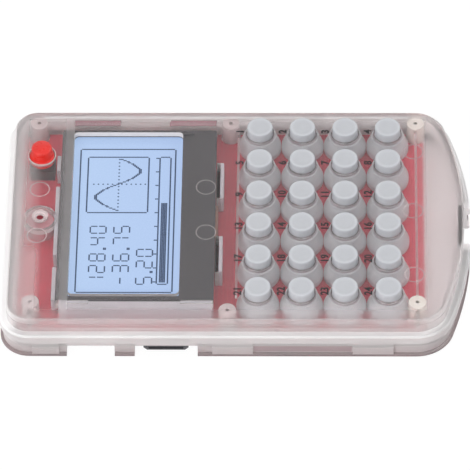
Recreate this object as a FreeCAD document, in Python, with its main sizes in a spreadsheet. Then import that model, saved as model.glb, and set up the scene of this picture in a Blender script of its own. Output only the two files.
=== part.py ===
import FreeCAD, Part
import os
import Sketcher

# Hand-held offline controller of an engraving machine, lying on its back.
# X runs along the case, from the display end to the rounded end. Y runs across it,
# from the side with the sockets to the plain side. Z points up, out of the key face.
# The origin is on the table, under the middle of the case. All sizes are in millimetres.

KEY_COLUMNS = 4
KEY_ROWS = 6
FLANGE_FLATS = 12

SIZES = (
    ("case_height", 16.0, "table to the flat key face"),
    ("plate_thickness", 2.0, "key face plate"),
    ("wall", 2.0, "upper wall and ledge"),
    ("skirt_wall", 1.5, "wall below the ledge"),
    ("ledge_height", 10.2, "table to the ledge round the case"),
    ("ledge_width", 2.4, "ledge, outside the upper wall"),
    ("groove_height", 6.9, "table to the step in the outer wall"),
    ("setback", 0.9, "depth of that step"),
    ("parting_height", 4.8, "table to the joint of the two shells"),
    ("base_thickness", 2.0, "bottom of the lower shell"),
    ("base_rim", 1.4, "height of the rim round the bottom"),
    ("base_bevel", 0.5, "bevel of the bottom edge"),
    ("face_bevel", 0.5, "bevel of the key face's edge"),
    ("ledge_bevel", 0.6, "bevel of the ledge's edge"),
    ("left_corner", 10.0, "corner radius at the display end"),
    ("right_corner", 13.0, "corner radius at the rounded end"),
    ("end_radius", 130.0, "radius of the rounded end"),
    ("end_notch_width", 16.0, "notch in the rounded end"),
    ("end_notch_depth", 2.6, "depth of that notch"),
    ("key_pitch", 14.5, "key to key, both ways"),
    ("key_side_margin", 13.45, "outer key rows to the case's sides, as a mean of both"),
    ("key_shift", 1.4, "key rows off the middle, towards the plain side"),
    ("key_end_margin", 27.75, "last key column to the rounded end"),
    ("display_key_gap", 14.75, "display frame to the first key column"),
    ("display_left_margin", 18.6, "display frame to the display end of the case"),
    ("cap_diameter", 8.6, "round key cap"),
    ("cap_height", 3.0, "key cap above the key face"),
    ("cap_clearance", 0.3, "gap round a cap in its hole"),
    ("flange_diameter", 12.4, "twelve-sided key flange under the plate, across its corners"),
    ("stay_thickness", 0.8, "stiffening rib beside the keys"),
    ("stay_depth", 2.0, "that rib below the plate"),
    ("rest_gap", 0.3, "flange to plate, key at rest"),
    ("stop_gap", 0.3, "flange to switch, key pressed"),
    ("key_travel", 0.5, "stroke of a key"),
    ("stem_side", 2.4, "square stem of a key"),
    ("stem_gap", 0.3, "gap round a stem in its switch"),
    ("stem_reach", 0.6, "stem inside its switch, key at rest"),
    ("switch_side", 6.0, "square key switch"),
    ("switch_height", 3.1, "board to the top of a key switch"),
    ("switch_cover", 0.4, "metal cover of a key switch"),
    ("stop_diameter", 7.3, "red button"),
    ("stop_height", 4.3, "red button above the key face"),
    ("stop_bevel", 0.9, "bevel of the red button's top"),
    ("stop_clearance", 0.8, "gap round the red button in its hole"),
    ("stop_flange", 10.4, "flange of the red button"),
    ("stop_flange_depth", 1.2, "thickness of that flange"),
    ("stop_travel", 1.0, "stroke of the red button"),
    ("stop_stem", 3.2, "square stem of the red button"),
    ("stop_stem_reach", 1.2, "that stem inside its switch"),
    ("stop_switch_side", 8.5, "square switch of the red button"),
    ("stop_end_margin", 11.9, "red button to the display end of the case"),
    ("stop_side_margin", 22.5, "red button to the plain side of the case"),
    ("board_height", 7.0, "table to the top of the circuit board"),
    ("board_thickness", 1.6, "circuit board"),
    ("board_gap", 0.9, "board to the upper wall"),
    ("board_end_margin", 12.2, "last key column to the board's end"),
    ("board_corner", 3.0, "corner radius of the board"),
    ("boss_diameter", 5.8, "screw boss"),
    ("boss_gap", 0.5, "gap round a boss in the board"),
    ("boss_rib", 1.2, "rib from a boss to the wall"),
    ("boss_end_margin", 10.3, "first bosses to the display end of the case"),
    ("boss_display_gap", 4.7, "middle bosses to the display frame"),
    ("boss_key_gap", 9.55, "last bosses to the last key column"),
    ("boss_back_margin", 6.5, "back bosses to the case's side"),
    ("boss_front_margin", 11.7, "front corner bosses to the case's side"),
    ("boss_middle_margin", 8.1, "front middle boss to the case's side"),
    ("screw_diameter", 2.4, "screw shank"),
    ("screw_gap", 0.05, "gap round a shank in its boss"),
    ("screw_length", 8.4, "shank below the head"),
    ("screw_head", 4.4, "head diameter"),
    ("screw_head_height", 1.7, "head height"),
    ("screw_seat", 2.6, "table to the face that a head bears on"),
    ("head_gap", 0.3, "gap round a head in its recess"),
    ("peg_side", 4.0, "square peg under the board"),
    ("display_width", 52.6, "display frame along the case"),
    ("display_length", 77.0, "display frame across the case"),
    ("display_shift", 1.4, "display frame off the middle, towards the plain side"),
    ("frame_height", 2.8, "display frame"),
    ("frame_lip", 1.0, "lip of the frame over the glass"),
    ("frame_wall", 1.0, "side wall of the frame"),
    ("frame_edge", 1.6, "lip width on three sides"),
    ("frame_ledge", 7.7, "lip width over the driver side of the glass"),
    ("glass_gap", 0.2, "gap round the glass in its frame"),
    ("window_left", 4.0, "frame's edge to the window in the plate"),
    ("window_width", 37.1, "window along the case"),
    ("window_length", 73.4, "window across the case"),
    ("window_shift", 1.0, "window off the middle, towards the plain side"),
    ("window_corner", 1.6, "corner radius of the window"),
    ("rib_thickness", 1.2, "locating rib"),
    ("rib_gap", 0.3, "locating rib to the display frame"),
    ("front_rib_length", 11.0, "ribs at the display's socket side"),
    ("back_rib_length", 15.8, "ribs at the display's plain side"),
    ("back_rib_margin", 5.7, "those ribs to the case's side"),
    ("side_rib_length", 16.0, "ribs at the display's key side"),
    ("ribbon_width", 15.0, "ribbon of the display"),
    ("ribbon_thickness", 0.3, "ribbon of the display"),
    ("ribbon_bow", 0.9, "how far the ribbon stands off the frame"),
    ("buzzer_diameter", 9.0, "sounder"),
    ("buzzer_height", 5.5, "sounder above the board"),
    ("buzzer_hole", 1.6, "hole in the sounder"),
    ("sound_hole", 2.4, "sound hole in the plate"),
    ("sound_cone", 4.4, "mouth of the sound hole"),
    ("sound_cone_depth", 0.8, "depth of that mouth"),
    ("collar_wall", 0.8, "collar round the sounder"),
    ("collar_gap", 0.4, "gap between them"),
    ("collar_overlap", 0.7, "collar down over the sounder"),
    ("buzzer_end_margin", 12.2, "sounder to the display end of the case"),
    ("buzzer_shift", 0.6, "sounder off the middle, towards the sockets"),
    ("card_notch_width", 16.0, "gap in the lower shell for a card"),
    ("card_notch_place", 11.8, "middle of that gap from the display frame"),
    ("cable_notch_width", 21.0, "gap in the lower shell for a plug"),
    ("cable_notch_place", 36.9, "middle of that gap from the display frame"),
    ("notch_depth", 5.0, "depth of both gaps"),
    ("card_socket_width", 14.0, "card socket"),
    ("card_socket_depth", 15.0, "card socket"),
    ("card_socket_height", 1.8, "card socket"),
    ("card_slot_width", 11.4, "slot for a card"),
    ("card_slot_height", 0.9, "slot for a card"),
    ("card_socket_lead", 0.6, "card socket beyond the board's edge"),
    ("cable_socket_width", 15.0, "cable socket"),
    ("cable_socket_depth", 10.0, "cable socket"),
    ("cable_socket_height", 2.9, "cable socket"),
    ("cable_socket_bevel", 1.2, "bevel of its lower corners"),
    ("cable_socket_lead", 4.2, "cable socket beyond the board's edge"),
    ("cable_mouth_width", 11.6, "mouth for a plug"),
    ("cable_mouth_height", 1.1, "mouth for a plug"),
    ("socket_gap", 0.3, "cable socket to the upper shell's wall"),
    ("mouth_depth", 6.0, "depth of slot and mouth"),
    ("tab_width", 13.6, "outer tab in the middle and near the rounded end"),
    ("tab_left_width", 9.0, "outer tab near the display end"),
    ("tab_left_gap", 2.4, "that tab to the card gap"),
    ("tab_middle_gap", 4.8, "middle tab to the cable gap"),
    ("tab_right_place", 5.1, "last tab's middle from the last key column"),
    ("chip_side", 10.0, "controller chip"),
    ("chip_height", 1.4, "controller chip"),
    ("memory_length", 7.6, "memory chip"),
    ("memory_width", 5.2, "memory chip"),
    ("memory_height", 1.6, "memory chip"),
)

# Places and sizes that follow from the ones above, as formulas of the second sheet.
PLACES = (
    ("case_width", f"({KEY_ROWS} - 1) * Dims.key_pitch + 2 * Dims.key_side_margin"),
    ("half_width", "case_width / 2"),
    ("case_length", "Dims.display_left_margin + Dims.display_width + Dims.display_key_gap"
                    f" + ({KEY_COLUMNS} - 1) * Dims.key_pitch + Dims.key_end_margin"),
    ("left_x", "-case_length / 2"),
    ("end_x", "case_length / 2"),
    ("end_centre_x", "end_x - sqrt(Dims.end_radius ^ 2 - (Dims.end_notch_width / 2) ^ 2)"),
    ("right_corner_x", "end_centre_x + sqrt((Dims.end_radius - Dims.right_corner) ^ 2"
                       " - (half_width - Dims.right_corner) ^ 2)"),
    ("plate_under", "Dims.case_height - Dims.plate_thickness"),
    ("cavity_inset", "Dims.ledge_width + Dims.wall"),
    ("skirt_inset", "Dims.setback + Dims.skirt_wall"),
    ("display_left", "left_x + Dims.display_left_margin"),
    ("display_right", "display_left + Dims.display_width"),
    ("display_x", "display_left + Dims.display_width / 2"),
    ("key_first_x", "display_right + Dims.display_key_gap"),
    ("key_last_x", f"key_first_x + ({KEY_COLUMNS} - 1) * Dims.key_pitch"),
    ("key_first_y", f"({KEY_ROWS} - 1) / 2 * Dims.key_pitch + Dims.key_shift"),
    ("flange_top", "plate_under - Dims.rest_gap"),
    ("switch_top", "Dims.board_height + Dims.switch_height"),
    ("flange_under", "switch_top + Dims.key_travel + Dims.stop_gap"),
    ("key_hole", "Dims.cap_diameter / 2 + Dims.cap_clearance"),
    ("well_floor", "switch_top - Dims.stem_reach - Dims.key_travel - Dims.stop_gap"),
    ("board_under", "Dims.board_height - Dims.board_thickness"),
    ("board_inset", "cavity_inset + Dims.board_gap"),
    ("board_left", "left_x + board_inset"),
    ("board_right", "key_last_x + Dims.board_end_margin"),
    ("board_front", "-half_width + board_inset"),
    ("stop_x", "left_x + Dims.stop_end_margin"),
    ("stop_y", "half_width - Dims.stop_side_margin"),
    ("stop_flange_top", "plate_under - Dims.rest_gap"),
    ("stop_flange_under", "stop_flange_top - Dims.stop_flange_depth"),
    ("stop_switch_top", "stop_flange_under - Dims.stop_travel - Dims.stop_gap"),
    ("stop_well_floor", "stop_switch_top - Dims.stop_stem_reach - Dims.stop_travel - Dims.stop_gap"),
    ("buzzer_x", "left_x + Dims.buzzer_end_margin"),
    ("buzzer_y", "-Dims.buzzer_shift"),
    ("boss_left_x", "left_x + Dims.boss_end_margin"),
    ("boss_middle_x", "display_right + Dims.boss_display_gap"),
    ("boss_right_x", "key_last_x + Dims.boss_key_gap"),
    ("boss_back_y", "half_width - Dims.boss_back_margin"),
    ("boss_front_y", "-half_width + Dims.boss_front_margin"),
    ("boss_middle_y", "-half_width + Dims.boss_middle_margin"),
    ("pilot_radius", "Dims.screw_diameter / 2 + Dims.screw_gap"),
    ("frame_under", "plate_under - Dims.frame_height"),
    ("glass_top", "plate_under - Dims.frame_lip"),
    ("glass_width", "Dims.display_width - 2 * Dims.frame_wall - 2 * Dims.glass_gap"),
    ("glass_length", "Dims.display_length - 2 * Dims.frame_wall - 2 * Dims.glass_gap"),
    ("display_front", "Dims.display_shift - Dims.display_length / 2"),
    ("display_back", "Dims.display_shift + Dims.display_length / 2"),
    ("back_rib_y", "max(half_width - Dims.back_rib_margin;"
                   " display_back + Dims.rib_gap + Dims.rib_thickness / 2)"),
    ("collar_under", "Dims.board_height + Dims.buzzer_height - Dims.collar_overlap"),
    ("window_x", "display_left + Dims.window_left + Dims.window_width / 2"),
    ("card_x", "display_left + Dims.card_notch_place"),
    ("cable_x", "display_left + Dims.cable_notch_place"),
    ("tab_left_x", "card_x - Dims.card_notch_width / 2 - Dims.tab_left_gap - Dims.tab_left_width / 2"),
    ("tab_middle_x", "cable_x + Dims.cable_notch_width / 2 + Dims.tab_middle_gap + Dims.tab_width / 2"),
    ("tab_right_x", "key_last_x - Dims.tab_right_place"),
    ("ribbon_x", "display_right + Dims.ribbon_bow"),
)

doc = FreeCAD.newDocument("OfflineController")
dims = doc.addObject("Spreadsheet::Sheet", "Dims")
for row, (alias, number, note) in enumerate(SIZES, 1):
    dims.set(f"A{row}", note)
    dims.set(f"B{row}", str(number))
    dims.setAlias(f"B{row}", alias)
layout = doc.addObject("Spreadsheet::Sheet", "Layout")
for row, (alias, formula) in enumerate(PLACES, 1):
    layout.set(f"A{row}", alias.replace("_", " "))
    layout.set(f"B{row}", "=" + formula)
    layout.setAlias(f"B{row}", alias)
doc.recompute()


def value(expression):
    """The number that an expression of the two sheets has now."""
    return float(layout.evalExpression(str(expression)))


def origin_feature(body, role):
    """One of a body's own origin planes or axes."""
    return next(item for item in body.Origin.OriginFeatures if item.Role == role)


class Drawing:
    """A sketch in a body, whose sizes are all tied to expressions of the sheets."""

    def __init__(self, body, name, level="0", plane="XY_Plane"):
        self.sketch = body.newObject("Sketcher::SketchObject", name)
        self.sketch.AttachmentSupport = [(origin_feature(body, plane), "")]
        self.sketch.MapMode = "FlatFace"
        self.sketch.setExpression("AttachmentOffset.Base.z", level)
        self.rules = []
        self.sizes = []

    def rule(self, kind, *places):
        """Note a constraint that has no size."""
        self.rules.append(Sketcher.Constraint(kind, *places))

    def tie(self, kind, *places, to):
        """Note a distance or a radius and the expression it is bound to."""
        self.sizes.append((len(self.rules), to))
        self.rules.append(Sketcher.Constraint(kind, *places, value(to)))

    def finish(self):
        """Put all noted constraints into the sketch, bind the sizes and hand the sketch over."""
        self.sketch.addConstraint(self.rules)
        for index, expression in self.sizes:
            self.sketch.setExpression(f"Constraints[{index}]", expression)
        return self.sketch

    def place(self, item, point, x, y):
        """Fix a point of an item at x, y from the sketch's origin."""
        self.tie("DistanceX", -1, 1, item, point, to=x)
        self.tie("DistanceY", -1, 1, item, point, to=y)

    def line(self, start, end):
        """A straight line between two points given as numbers."""
        return self.sketch.addGeometry(Part.LineSegment(FreeCAD.Vector(*start), FreeCAD.Vector(*end)))

    def arc(self, centre, radius, from_degrees, to_degrees):
        """An arc about a centre, drawn anticlockwise."""
        circle = Part.Circle(FreeCAD.Vector(*centre), FreeCAD.Vector(0, 0, 1), radius)
        turn = FreeCAD.Units.Quantity("1 deg").getValueAs("rad").Value
        return self.sketch.addGeometry(Part.ArcOfCircle(circle, from_degrees * turn, to_degrees * turn))

    def circle(self, x, y, radius):
        """A circle with its centre and radius bound."""
        centre = FreeCAD.Vector(value(x), value(y), 0)
        item = self.sketch.addGeometry(Part.Circle(centre, FreeCAD.Vector(0, 0, 1), value(radius)))
        self.place(item, 3, x, y)
        self.tie("Radius", item, to=radius)

    def polygon(self, corners):
        """A closed run of straight lines through corners given as pairs of expressions."""
        points = [(value(x), value(y), 0) for x, y in corners]
        items = [self.line(a, b) for a, b in zip(points, points[1:] + points[:1])]
        for item, following in zip(items, items[1:] + items[:1]):
            self.rule("Coincident", item, 2, following, 1)
        for item, (x, y) in zip(items, corners):
            self.place(item, 1, x, y)

    def rectangle(self, x, y, along_x, along_y):
        """A rectangle about the centre x, y."""
        low_x, high_x = f"{x} - ({along_x}) / 2", f"{x} + ({along_x}) / 2"
        low_y, high_y = f"{y} - ({along_y}) / 2", f"{y} + ({along_y}) / 2"
        self.polygon([(low_x, low_y), (high_x, low_y), (high_x, high_y), (low_x, high_y)])

    def join_round(self, items):
        """Join lines and arcs end to end, each tangent to the next."""
        for item, following in zip(items, items[1:] + items[:1]):
            self.rule("Tangent", item, 2, following, 1)

    def rounded_rectangle(self, x, y, along_x, along_y, radius):
        """A rectangle about the centre x, y with four equal round corners."""
        left, right = value(f"{x} - ({along_x}) / 2"), value(f"{x} + ({along_x}) / 2")
        front, back = value(f"{y} - ({along_y}) / 2"), value(f"{y} + ({along_y}) / 2")
        bend = value(radius)
        items = [
            self.line((left + bend, front, 0), (right - bend, front, 0)),
            self.arc((right - bend, front + bend, 0), bend, 270, 360),
            self.line((right, front + bend, 0), (right, back - bend, 0)),
            self.arc((right - bend, back - bend, 0), bend, 0, 90),
            self.line((right - bend, back, 0), (left + bend, back, 0)),
            self.arc((left + bend, back - bend, 0), bend, 90, 180),
            self.line((left, back - bend, 0), (left, front + bend, 0)),
            self.arc((left + bend, front + bend, 0), bend, 180, 270),
        ]
        self.join_round(items)
        self.rule("Horizontal", items[0])
        self.rule("Vertical", items[2])
        self.rule("Horizontal", items[4])
        self.rule("Vertical", items[6])
        for corner in items[1::2]:
            self.tie("Radius", corner, to=radius)
        self.tie("DistanceY", -1, 1, items[0], 1, to=f"{y} - ({along_y}) / 2")
        self.tie("DistanceX", -1, 1, items[2], 1, to=f"{x} + ({along_x}) / 2")
        self.tie("DistanceY", -1, 1, items[4], 1, to=f"{y} + ({along_y}) / 2")
        self.tie("DistanceX", -1, 1, items[6], 1, to=f"{x} - ({along_x}) / 2")

    def case_outline(self, inset):
        """The case seen from above, moved inwards by inset: three straight sides and a rounded end."""
        half = f"Layout.half_width - ({inset})"
        left_bend = f"Dims.left_corner - ({inset})"
        right_bend = f"Dims.right_corner - ({inset})"
        end_bend = f"Dims.end_radius - ({inset})"
        side, low_x = value(half), value(f"Layout.left_x + ({inset})")
        bend, turn, sweep = value(left_bend), value(right_bend), value(end_bend)
        end_x, corner_x = value("Layout.end_centre_x"), value("Layout.right_corner_x")
        rise = side - turn
        open_degrees = value(f"atan2({rise}; {corner_x - end_x})")
        items = [
            self.line((low_x + bend, -side, 0), (corner_x, -side, 0)),
            self.arc((corner_x, -rise, 0), turn, -90, -open_degrees),
            self.arc((end_x, 0, 0), sweep, -open_degrees, open_degrees),
            self.arc((corner_x, rise, 0), turn, open_degrees, 90),
            self.line((corner_x, side, 0), (low_x + bend, side, 0)),
            self.arc((low_x + bend, side - bend, 0), bend, 90, 180),
            self.line((low_x, side - bend, 0), (low_x, bend - side, 0)),
            self.arc((low_x + bend, bend - side, 0), bend, 180, 270),
        ]
        self.join_round(items)
        self.rule("Horizontal", items[0])
        self.rule("Horizontal", items[4])
        self.rule("Vertical", items[6])
        self.tie("DistanceY", -1, 1, items[0], 1, to=f"-({half})")
        self.tie("DistanceY", -1, 1, items[4], 1, to=half)
        self.tie("DistanceX", -1, 1, items[6], 1, to=f"Layout.left_x + ({inset})")
        for corner, radius in zip(items[1::2], (right_bend, right_bend, left_bend, left_bend)):
            self.tie("Radius", corner, to=radius)
        self.tie("Radius", items[2], to=end_bend)
        self.place(items[2], 3, "Layout.end_centre_x", "0")


def new_body(label):
    """An empty body with its label."""
    body = doc.addObject("PartDesign::Body", label)
    body.Label = label
    return body


def raise_from(body, drawing, height, name):
    """Pad a drawing upwards."""
    pad = body.newObject("PartDesign::Pad", name)
    pad.Profile = drawing.finish()
    pad.Refine = False
    pad.setExpression("Length", height)
    return pad


def cut_up(body, drawing, height, name):
    """Cut a drawing's outline upwards, and stop if it takes nothing away."""
    doc.recompute()
    before = body.Shape.Volume
    pocket = body.newObject("PartDesign::Pocket", name)
    pocket.Profile = drawing.finish()
    pocket.Reversed = True
    pocket.Refine = False
    pocket.setExpression("Length", height)
    doc.recompute()
    if body.Shape.Volume > before - 1e-6:
        raise RuntimeError(f"{name} cut nothing from {body.Label}")
    return pocket


def level_edges(shape, height):
    """Names of the edges that lie flat at one height."""
    flat = []
    for index, edge in enumerate(shape.Edges, 1):
        box = edge.BoundBox
        if abs(box.ZMin - height) < 1e-4 and abs(box.ZMax - height) < 1e-4:
            flat.append(f"Edge{index}")
    return flat


def bevel_edges(body, edges, size, name):
    """Bevel the named edges of a body's last feature."""
    feature = body.Tip
    bevel = body.newObject("PartDesign::Chamfer", name)
    bevel.Base = (feature, edges)
    bevel.setExpression("Size", size)
    return bevel


def key_places():
    """The keys' centres, row by row from the plain side, each row from the display on."""
    for row in range(KEY_ROWS):
        for column in range(KEY_COLUMNS):
            yield (f"Layout.key_first_x + {column} * Dims.key_pitch",
                   f"Layout.key_first_y - {row} * Dims.key_pitch")


BOSSES = (
    ("Layout.boss_left_x", "Layout.boss_back_y", "1"),
    ("Layout.boss_middle_x", "Layout.boss_back_y", "1"),
    ("Layout.boss_right_x", "Layout.boss_back_y", "1"),
    ("Layout.boss_left_x", "Layout.boss_front_y", "-1"),
    ("Layout.boss_middle_x", "Layout.boss_middle_y", "-1"),
    ("Layout.boss_right_x", "Layout.boss_front_y", "-1"),
)

TABS = (
    ("Layout.tab_left_x", "Dims.tab_left_width"),
    ("Layout.tab_middle_x", "Dims.tab_width"),
    ("Layout.tab_right_x", "Dims.tab_width"),
)

# Places for the pegs that carry the board, clear of the sockets and chips.
PEGS = (
    ("Layout.key_first_x + Dims.key_pitch / 2", "2 * Dims.key_pitch"),
    ("Layout.key_first_x + Dims.key_pitch / 2", "-2 * Dims.key_pitch"),
    ("Layout.key_last_x - Dims.key_pitch / 2", "2 * Dims.key_pitch"),
    ("Layout.key_last_x - Dims.key_pitch / 2", "-2 * Dims.key_pitch"),
    ("Layout.display_left", "Dims.key_pitch"),
    ("Layout.display_left", "-Dims.key_pitch"),
)


def draw_circles(body, name, level, places, radius):
    """A drawing of equal circles."""
    drawing = Drawing(body, name, level)
    for x, y in places:
        drawing.circle(x, y, radius)
    return drawing


def draw_first_square(body, name, level, side):
    """A drawing of one square at the first key's place."""
    drawing = Drawing(body, name, level)
    drawing.rectangle("Layout.key_first_x", "Layout.key_first_y", side, side)
    return drawing


def repeat_on_grid(body, features):
    """Copy features from the first key's place to the places of all the others."""
    grid = body.newObject("PartDesign::MultiTransform", "KeyGrid")
    grid.Originals = features
    along = body.newObject("PartDesign::LinearPattern", "AlongRow")
    along.Direction = (origin_feature(body, "X_Axis"), [""])
    along.setExpression("Length", f"({KEY_COLUMNS} - 1) * Dims.key_pitch")
    along.Occurrences = KEY_COLUMNS
    across = body.newObject("PartDesign::LinearPattern", "AcrossRows")
    across.Direction = (origin_feature(body, "Y_Axis"), [""])
    across.Reversed = True
    across.setExpression("Length", f"({KEY_ROWS} - 1) * Dims.key_pitch")
    across.Occurrences = KEY_ROWS
    grid.Transformations = [along, across]
    body.Tip = grid


def draw_outline(body, name, level, inset):
    """A drawing of the case's outline, moved inwards by inset."""
    drawing = Drawing(body, name, level)
    drawing.case_outline(inset)
    return drawing


def draw_tabs(body, name, level):
    """The outer tabs, from the set-back wall out to the full outline."""
    drawing = Drawing(body, name, level)
    depth = "Layout.skirt_inset"
    for x, width in TABS:
        drawing.rectangle(x, f"-Layout.half_width + {depth} / 2", width, depth)
    return drawing


def boss_centres():
    """Centres of the screw bosses."""
    return [(x, y) for x, y, side in BOSSES]


def back_end_notch(body, level, height):
    """A thicker stretch of the rounded end's wall, so that the notch leaves it closed."""
    drawing = Drawing(body, "EndBackingOutline", level)
    drawing.rectangle("Layout.end_x - Dims.skirt_wall - Dims.end_notch_depth / 2", "0",
                      "Dims.end_notch_depth", "Dims.end_notch_width + 2 * Dims.skirt_wall")
    raise_from(body, drawing, height, "EndBacking")


def cut_end_notch(body, level, height):
    """The notch in the middle of the rounded end."""
    drawing = Drawing(body, "EndNotchOutline", level)
    drawing.rectangle("Layout.end_x", "0", "2 * Dims.end_notch_depth", "Dims.end_notch_width")
    cut_up(body, drawing, height, "EndNotch")


def make_upper_shell():
    """Key face, stepped wall, bosses and ribs, moulded in one."""
    body = new_body("upper_shell")
    low = "Dims.parting_height"
    foot = draw_outline(body, "FootOutline", low, "Dims.setback")
    raise_from(body, foot, "Dims.groove_height - Dims.parting_height", "Foot")
    tabs = draw_tabs(body, "TabOutline", low)
    raise_from(body, tabs, "Dims.groove_height - Dims.parting_height", "Tabs")
    skirt = draw_outline(body, "SkirtOutline", "Dims.groove_height", "0")
    raise_from(body, skirt, "Dims.ledge_height - Dims.groove_height", "Skirt")
    top = draw_outline(body, "TopOutline", "Dims.ledge_height", "Dims.ledge_width")
    raise_from(body, top, "Dims.case_height - Dims.ledge_height", "Top")
    doc.recompute()
    face = level_edges(body.Shape, value("Dims.case_height"))
    bevel_edges(body, face, "Dims.face_bevel", "FaceBevel")
    doc.recompute()
    ledge = [edge for edge in level_edges(body.Shape, value("Dims.ledge_height"))
             if is_outer_edge(body.Shape.getElement(edge))]
    bevel_edges(body, ledge, "Dims.ledge_bevel", "LedgeBevel")
    hollow = draw_outline(body, "SkirtHollow", low, "Layout.skirt_inset")
    cut_up(body, hollow, "Dims.ledge_height - Dims.wall - Dims.parting_height", "SkirtCut")
    hollow = draw_outline(body, "TopHollow", low, "Layout.cavity_inset")
    cut_up(body, hollow, "Layout.plate_under - Dims.parting_height", "TopCut")
    back_end_notch(body, low, "Dims.ledge_height - Dims.wall - Dims.parting_height")
    cut_end_notch(body, low, "Dims.ledge_height - Dims.parting_height")
    add_bosses(body)
    add_stays(body)
    add_ribs(body)
    add_collar(body)
    cut_face_openings(body)
    return body


def is_outer_edge(edge):
    """True for an edge of the full outline, which lies outside the upper wall."""
    half, inset = value("Layout.half_width"), value("Dims.ledge_width")
    low_x = value("Layout.left_x")
    middle = edge.valueAt((edge.FirstParameter + edge.LastParameter) / 2)
    end_gap = middle.distanceToPoint(FreeCAD.Vector(value("Layout.end_centre_x"), 0, middle.z))
    at_side = abs(middle.y) > half - inset / 2
    at_left = middle.x < low_x + inset / 2
    at_end = middle.x > 0 and end_gap > value("Dims.end_radius") - inset / 2
    corner = min(
        abs(middle.distanceToPoint(FreeCAD.Vector(centre_x, centre_y, middle.z)) - radius)
        for centre_x, centre_y, radius in corner_circles()
    )
    return at_side or at_left or at_end or corner < inset / 2


def corner_circles():
    """Centre and radius of the outline's four corners."""
    half = value("Layout.half_width")
    left, right = value("Dims.left_corner"), value("Dims.right_corner")
    left_x, right_x = value("Layout.left_x") + left, value("Layout.right_corner_x")
    for side in (1, -1):
        yield left_x, side * (half - left), left
        yield right_x, side * (half - right), right


def add_bosses(body):
    """Screw bosses down to the parting face, each with a rib to the side wall."""
    bosses = draw_circles(body, "BossOutline", "Dims.parting_height", boss_centres(),
                          "Dims.boss_diameter / 2")
    raise_from(body, bosses, "Layout.plate_under - Dims.parting_height", "Bosses")
    ribs = Drawing(body, "BossRibOutline", "Dims.ledge_height")
    for x, y, side in BOSSES:
        wall = f"{side} * (Layout.half_width - Layout.cavity_inset + Dims.wall / 2)"
        ribs.rectangle(x, f"(({wall}) + {y}) / 2", "Dims.boss_rib", f"abs(({wall}) - ({y}))")
    raise_from(body, ribs, "Layout.plate_under - Dims.ledge_height", "BossRibs")
    pilots = draw_circles(body, "PilotOutline", "Dims.parting_height", boss_centres(), "Layout.pilot_radius")
    depth = "Dims.screw_seat + Dims.screw_length + Dims.stop_gap - Dims.parting_height"
    cut_up(body, pilots, depth, "Pilots")


def add_stays(body):
    """Stiffening ribs under the plate, one on each side of the keys."""
    stays = Drawing(body, "StayOutline", "Layout.plate_under - Dims.stay_depth")
    stays.rectangle("Layout.key_first_x - Dims.key_pitch / 2", "Dims.key_shift", "Dims.stay_thickness",
                    f"({KEY_ROWS} - 1) * Dims.key_pitch")
    stays.rectangle("Layout.boss_right_x", "(Layout.boss_back_y + Layout.boss_front_y) / 2",
                    "Dims.stay_thickness",
                    "Layout.boss_back_y - Layout.boss_front_y - Dims.boss_diameter / 2")
    raise_from(body, stays, "Dims.stay_depth", "Stays")


def add_ribs(body):
    """Ribs that locate the display and hold the board down."""
    locating = Drawing(body, "FrontRibOutline", "Layout.frame_under")
    front_y = "Layout.display_front - Dims.rib_gap - Dims.rib_thickness / 2"
    for x in ("Layout.display_left + Dims.front_rib_length / 2",
              "Layout.display_right - Dims.front_rib_length / 2"):
        locating.rectangle(x, front_y, "Dims.front_rib_length", "Dims.rib_thickness")
    raise_from(body, locating, "Dims.frame_height", "FrontRibs")
    holding = Drawing(body, "HoldingRibOutline", "Dims.board_height")
    inwards = "(Dims.back_rib_length / 2 + Dims.window_left)"
    for x in (f"Layout.display_left + {inwards}", f"Layout.display_right - {inwards} + Dims.window_left"):
        holding.rectangle(x, "Layout.back_rib_y", "Dims.back_rib_length", "Dims.rib_thickness")
    side_x = "Layout.display_right + Dims.rib_gap + Dims.rib_thickness / 2"
    apart = "(Dims.ribbon_width / 2 + Dims.rib_thickness + Dims.side_rib_length / 2)"
    for y in (f"{apart}", f"-{apart}"):
        holding.rectangle(side_x, y, "Dims.rib_thickness", "Dims.side_rib_length")
    raise_from(body, holding, "Layout.plate_under - Dims.board_height", "HoldingRibs")


def add_collar(body):
    """Ring under the plate that the sounder stands in."""
    ring = Drawing(body, "CollarOutline", "Layout.collar_under")
    inner = "Dims.buzzer_diameter / 2 + Dims.collar_gap"
    ring.circle("Layout.buzzer_x", "Layout.buzzer_y", inner)
    ring.circle("Layout.buzzer_x", "Layout.buzzer_y", f"{inner} + Dims.collar_wall")
    raise_from(body, ring, "Layout.plate_under - Layout.collar_under", "Collar")


def cut_face_openings(body):
    """Display window, key holes, red button's hole and the sound hole, through the plate."""
    window = Drawing(body, "WindowOutline", "Layout.plate_under")
    window.rounded_rectangle("Layout.window_x", "Dims.window_shift", "Dims.window_width",
                             "Dims.window_length", "Dims.window_corner")
    cut_up(body, window, "Dims.plate_thickness", "Window")
    holes = draw_circles(body, "KeyHoleOutline", "Layout.plate_under", key_places(), "Layout.key_hole")
    holes.circle("Layout.stop_x", "Layout.stop_y", "Dims.stop_diameter / 2 + Dims.stop_clearance")
    holes.circle("Layout.buzzer_x", "Layout.buzzer_y", "Dims.sound_hole / 2")
    cut_up(body, holes, "Dims.plate_thickness", "FaceHoles")
    mouth = draw_circles(body, "SoundMouthOutline", "Dims.case_height - Dims.sound_cone_depth",
                         [("Layout.buzzer_x", "Layout.buzzer_y")], "Dims.sound_cone / 2")
    cut_up(body, mouth, "Dims.sound_cone_depth", "SoundMouth")


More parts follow.
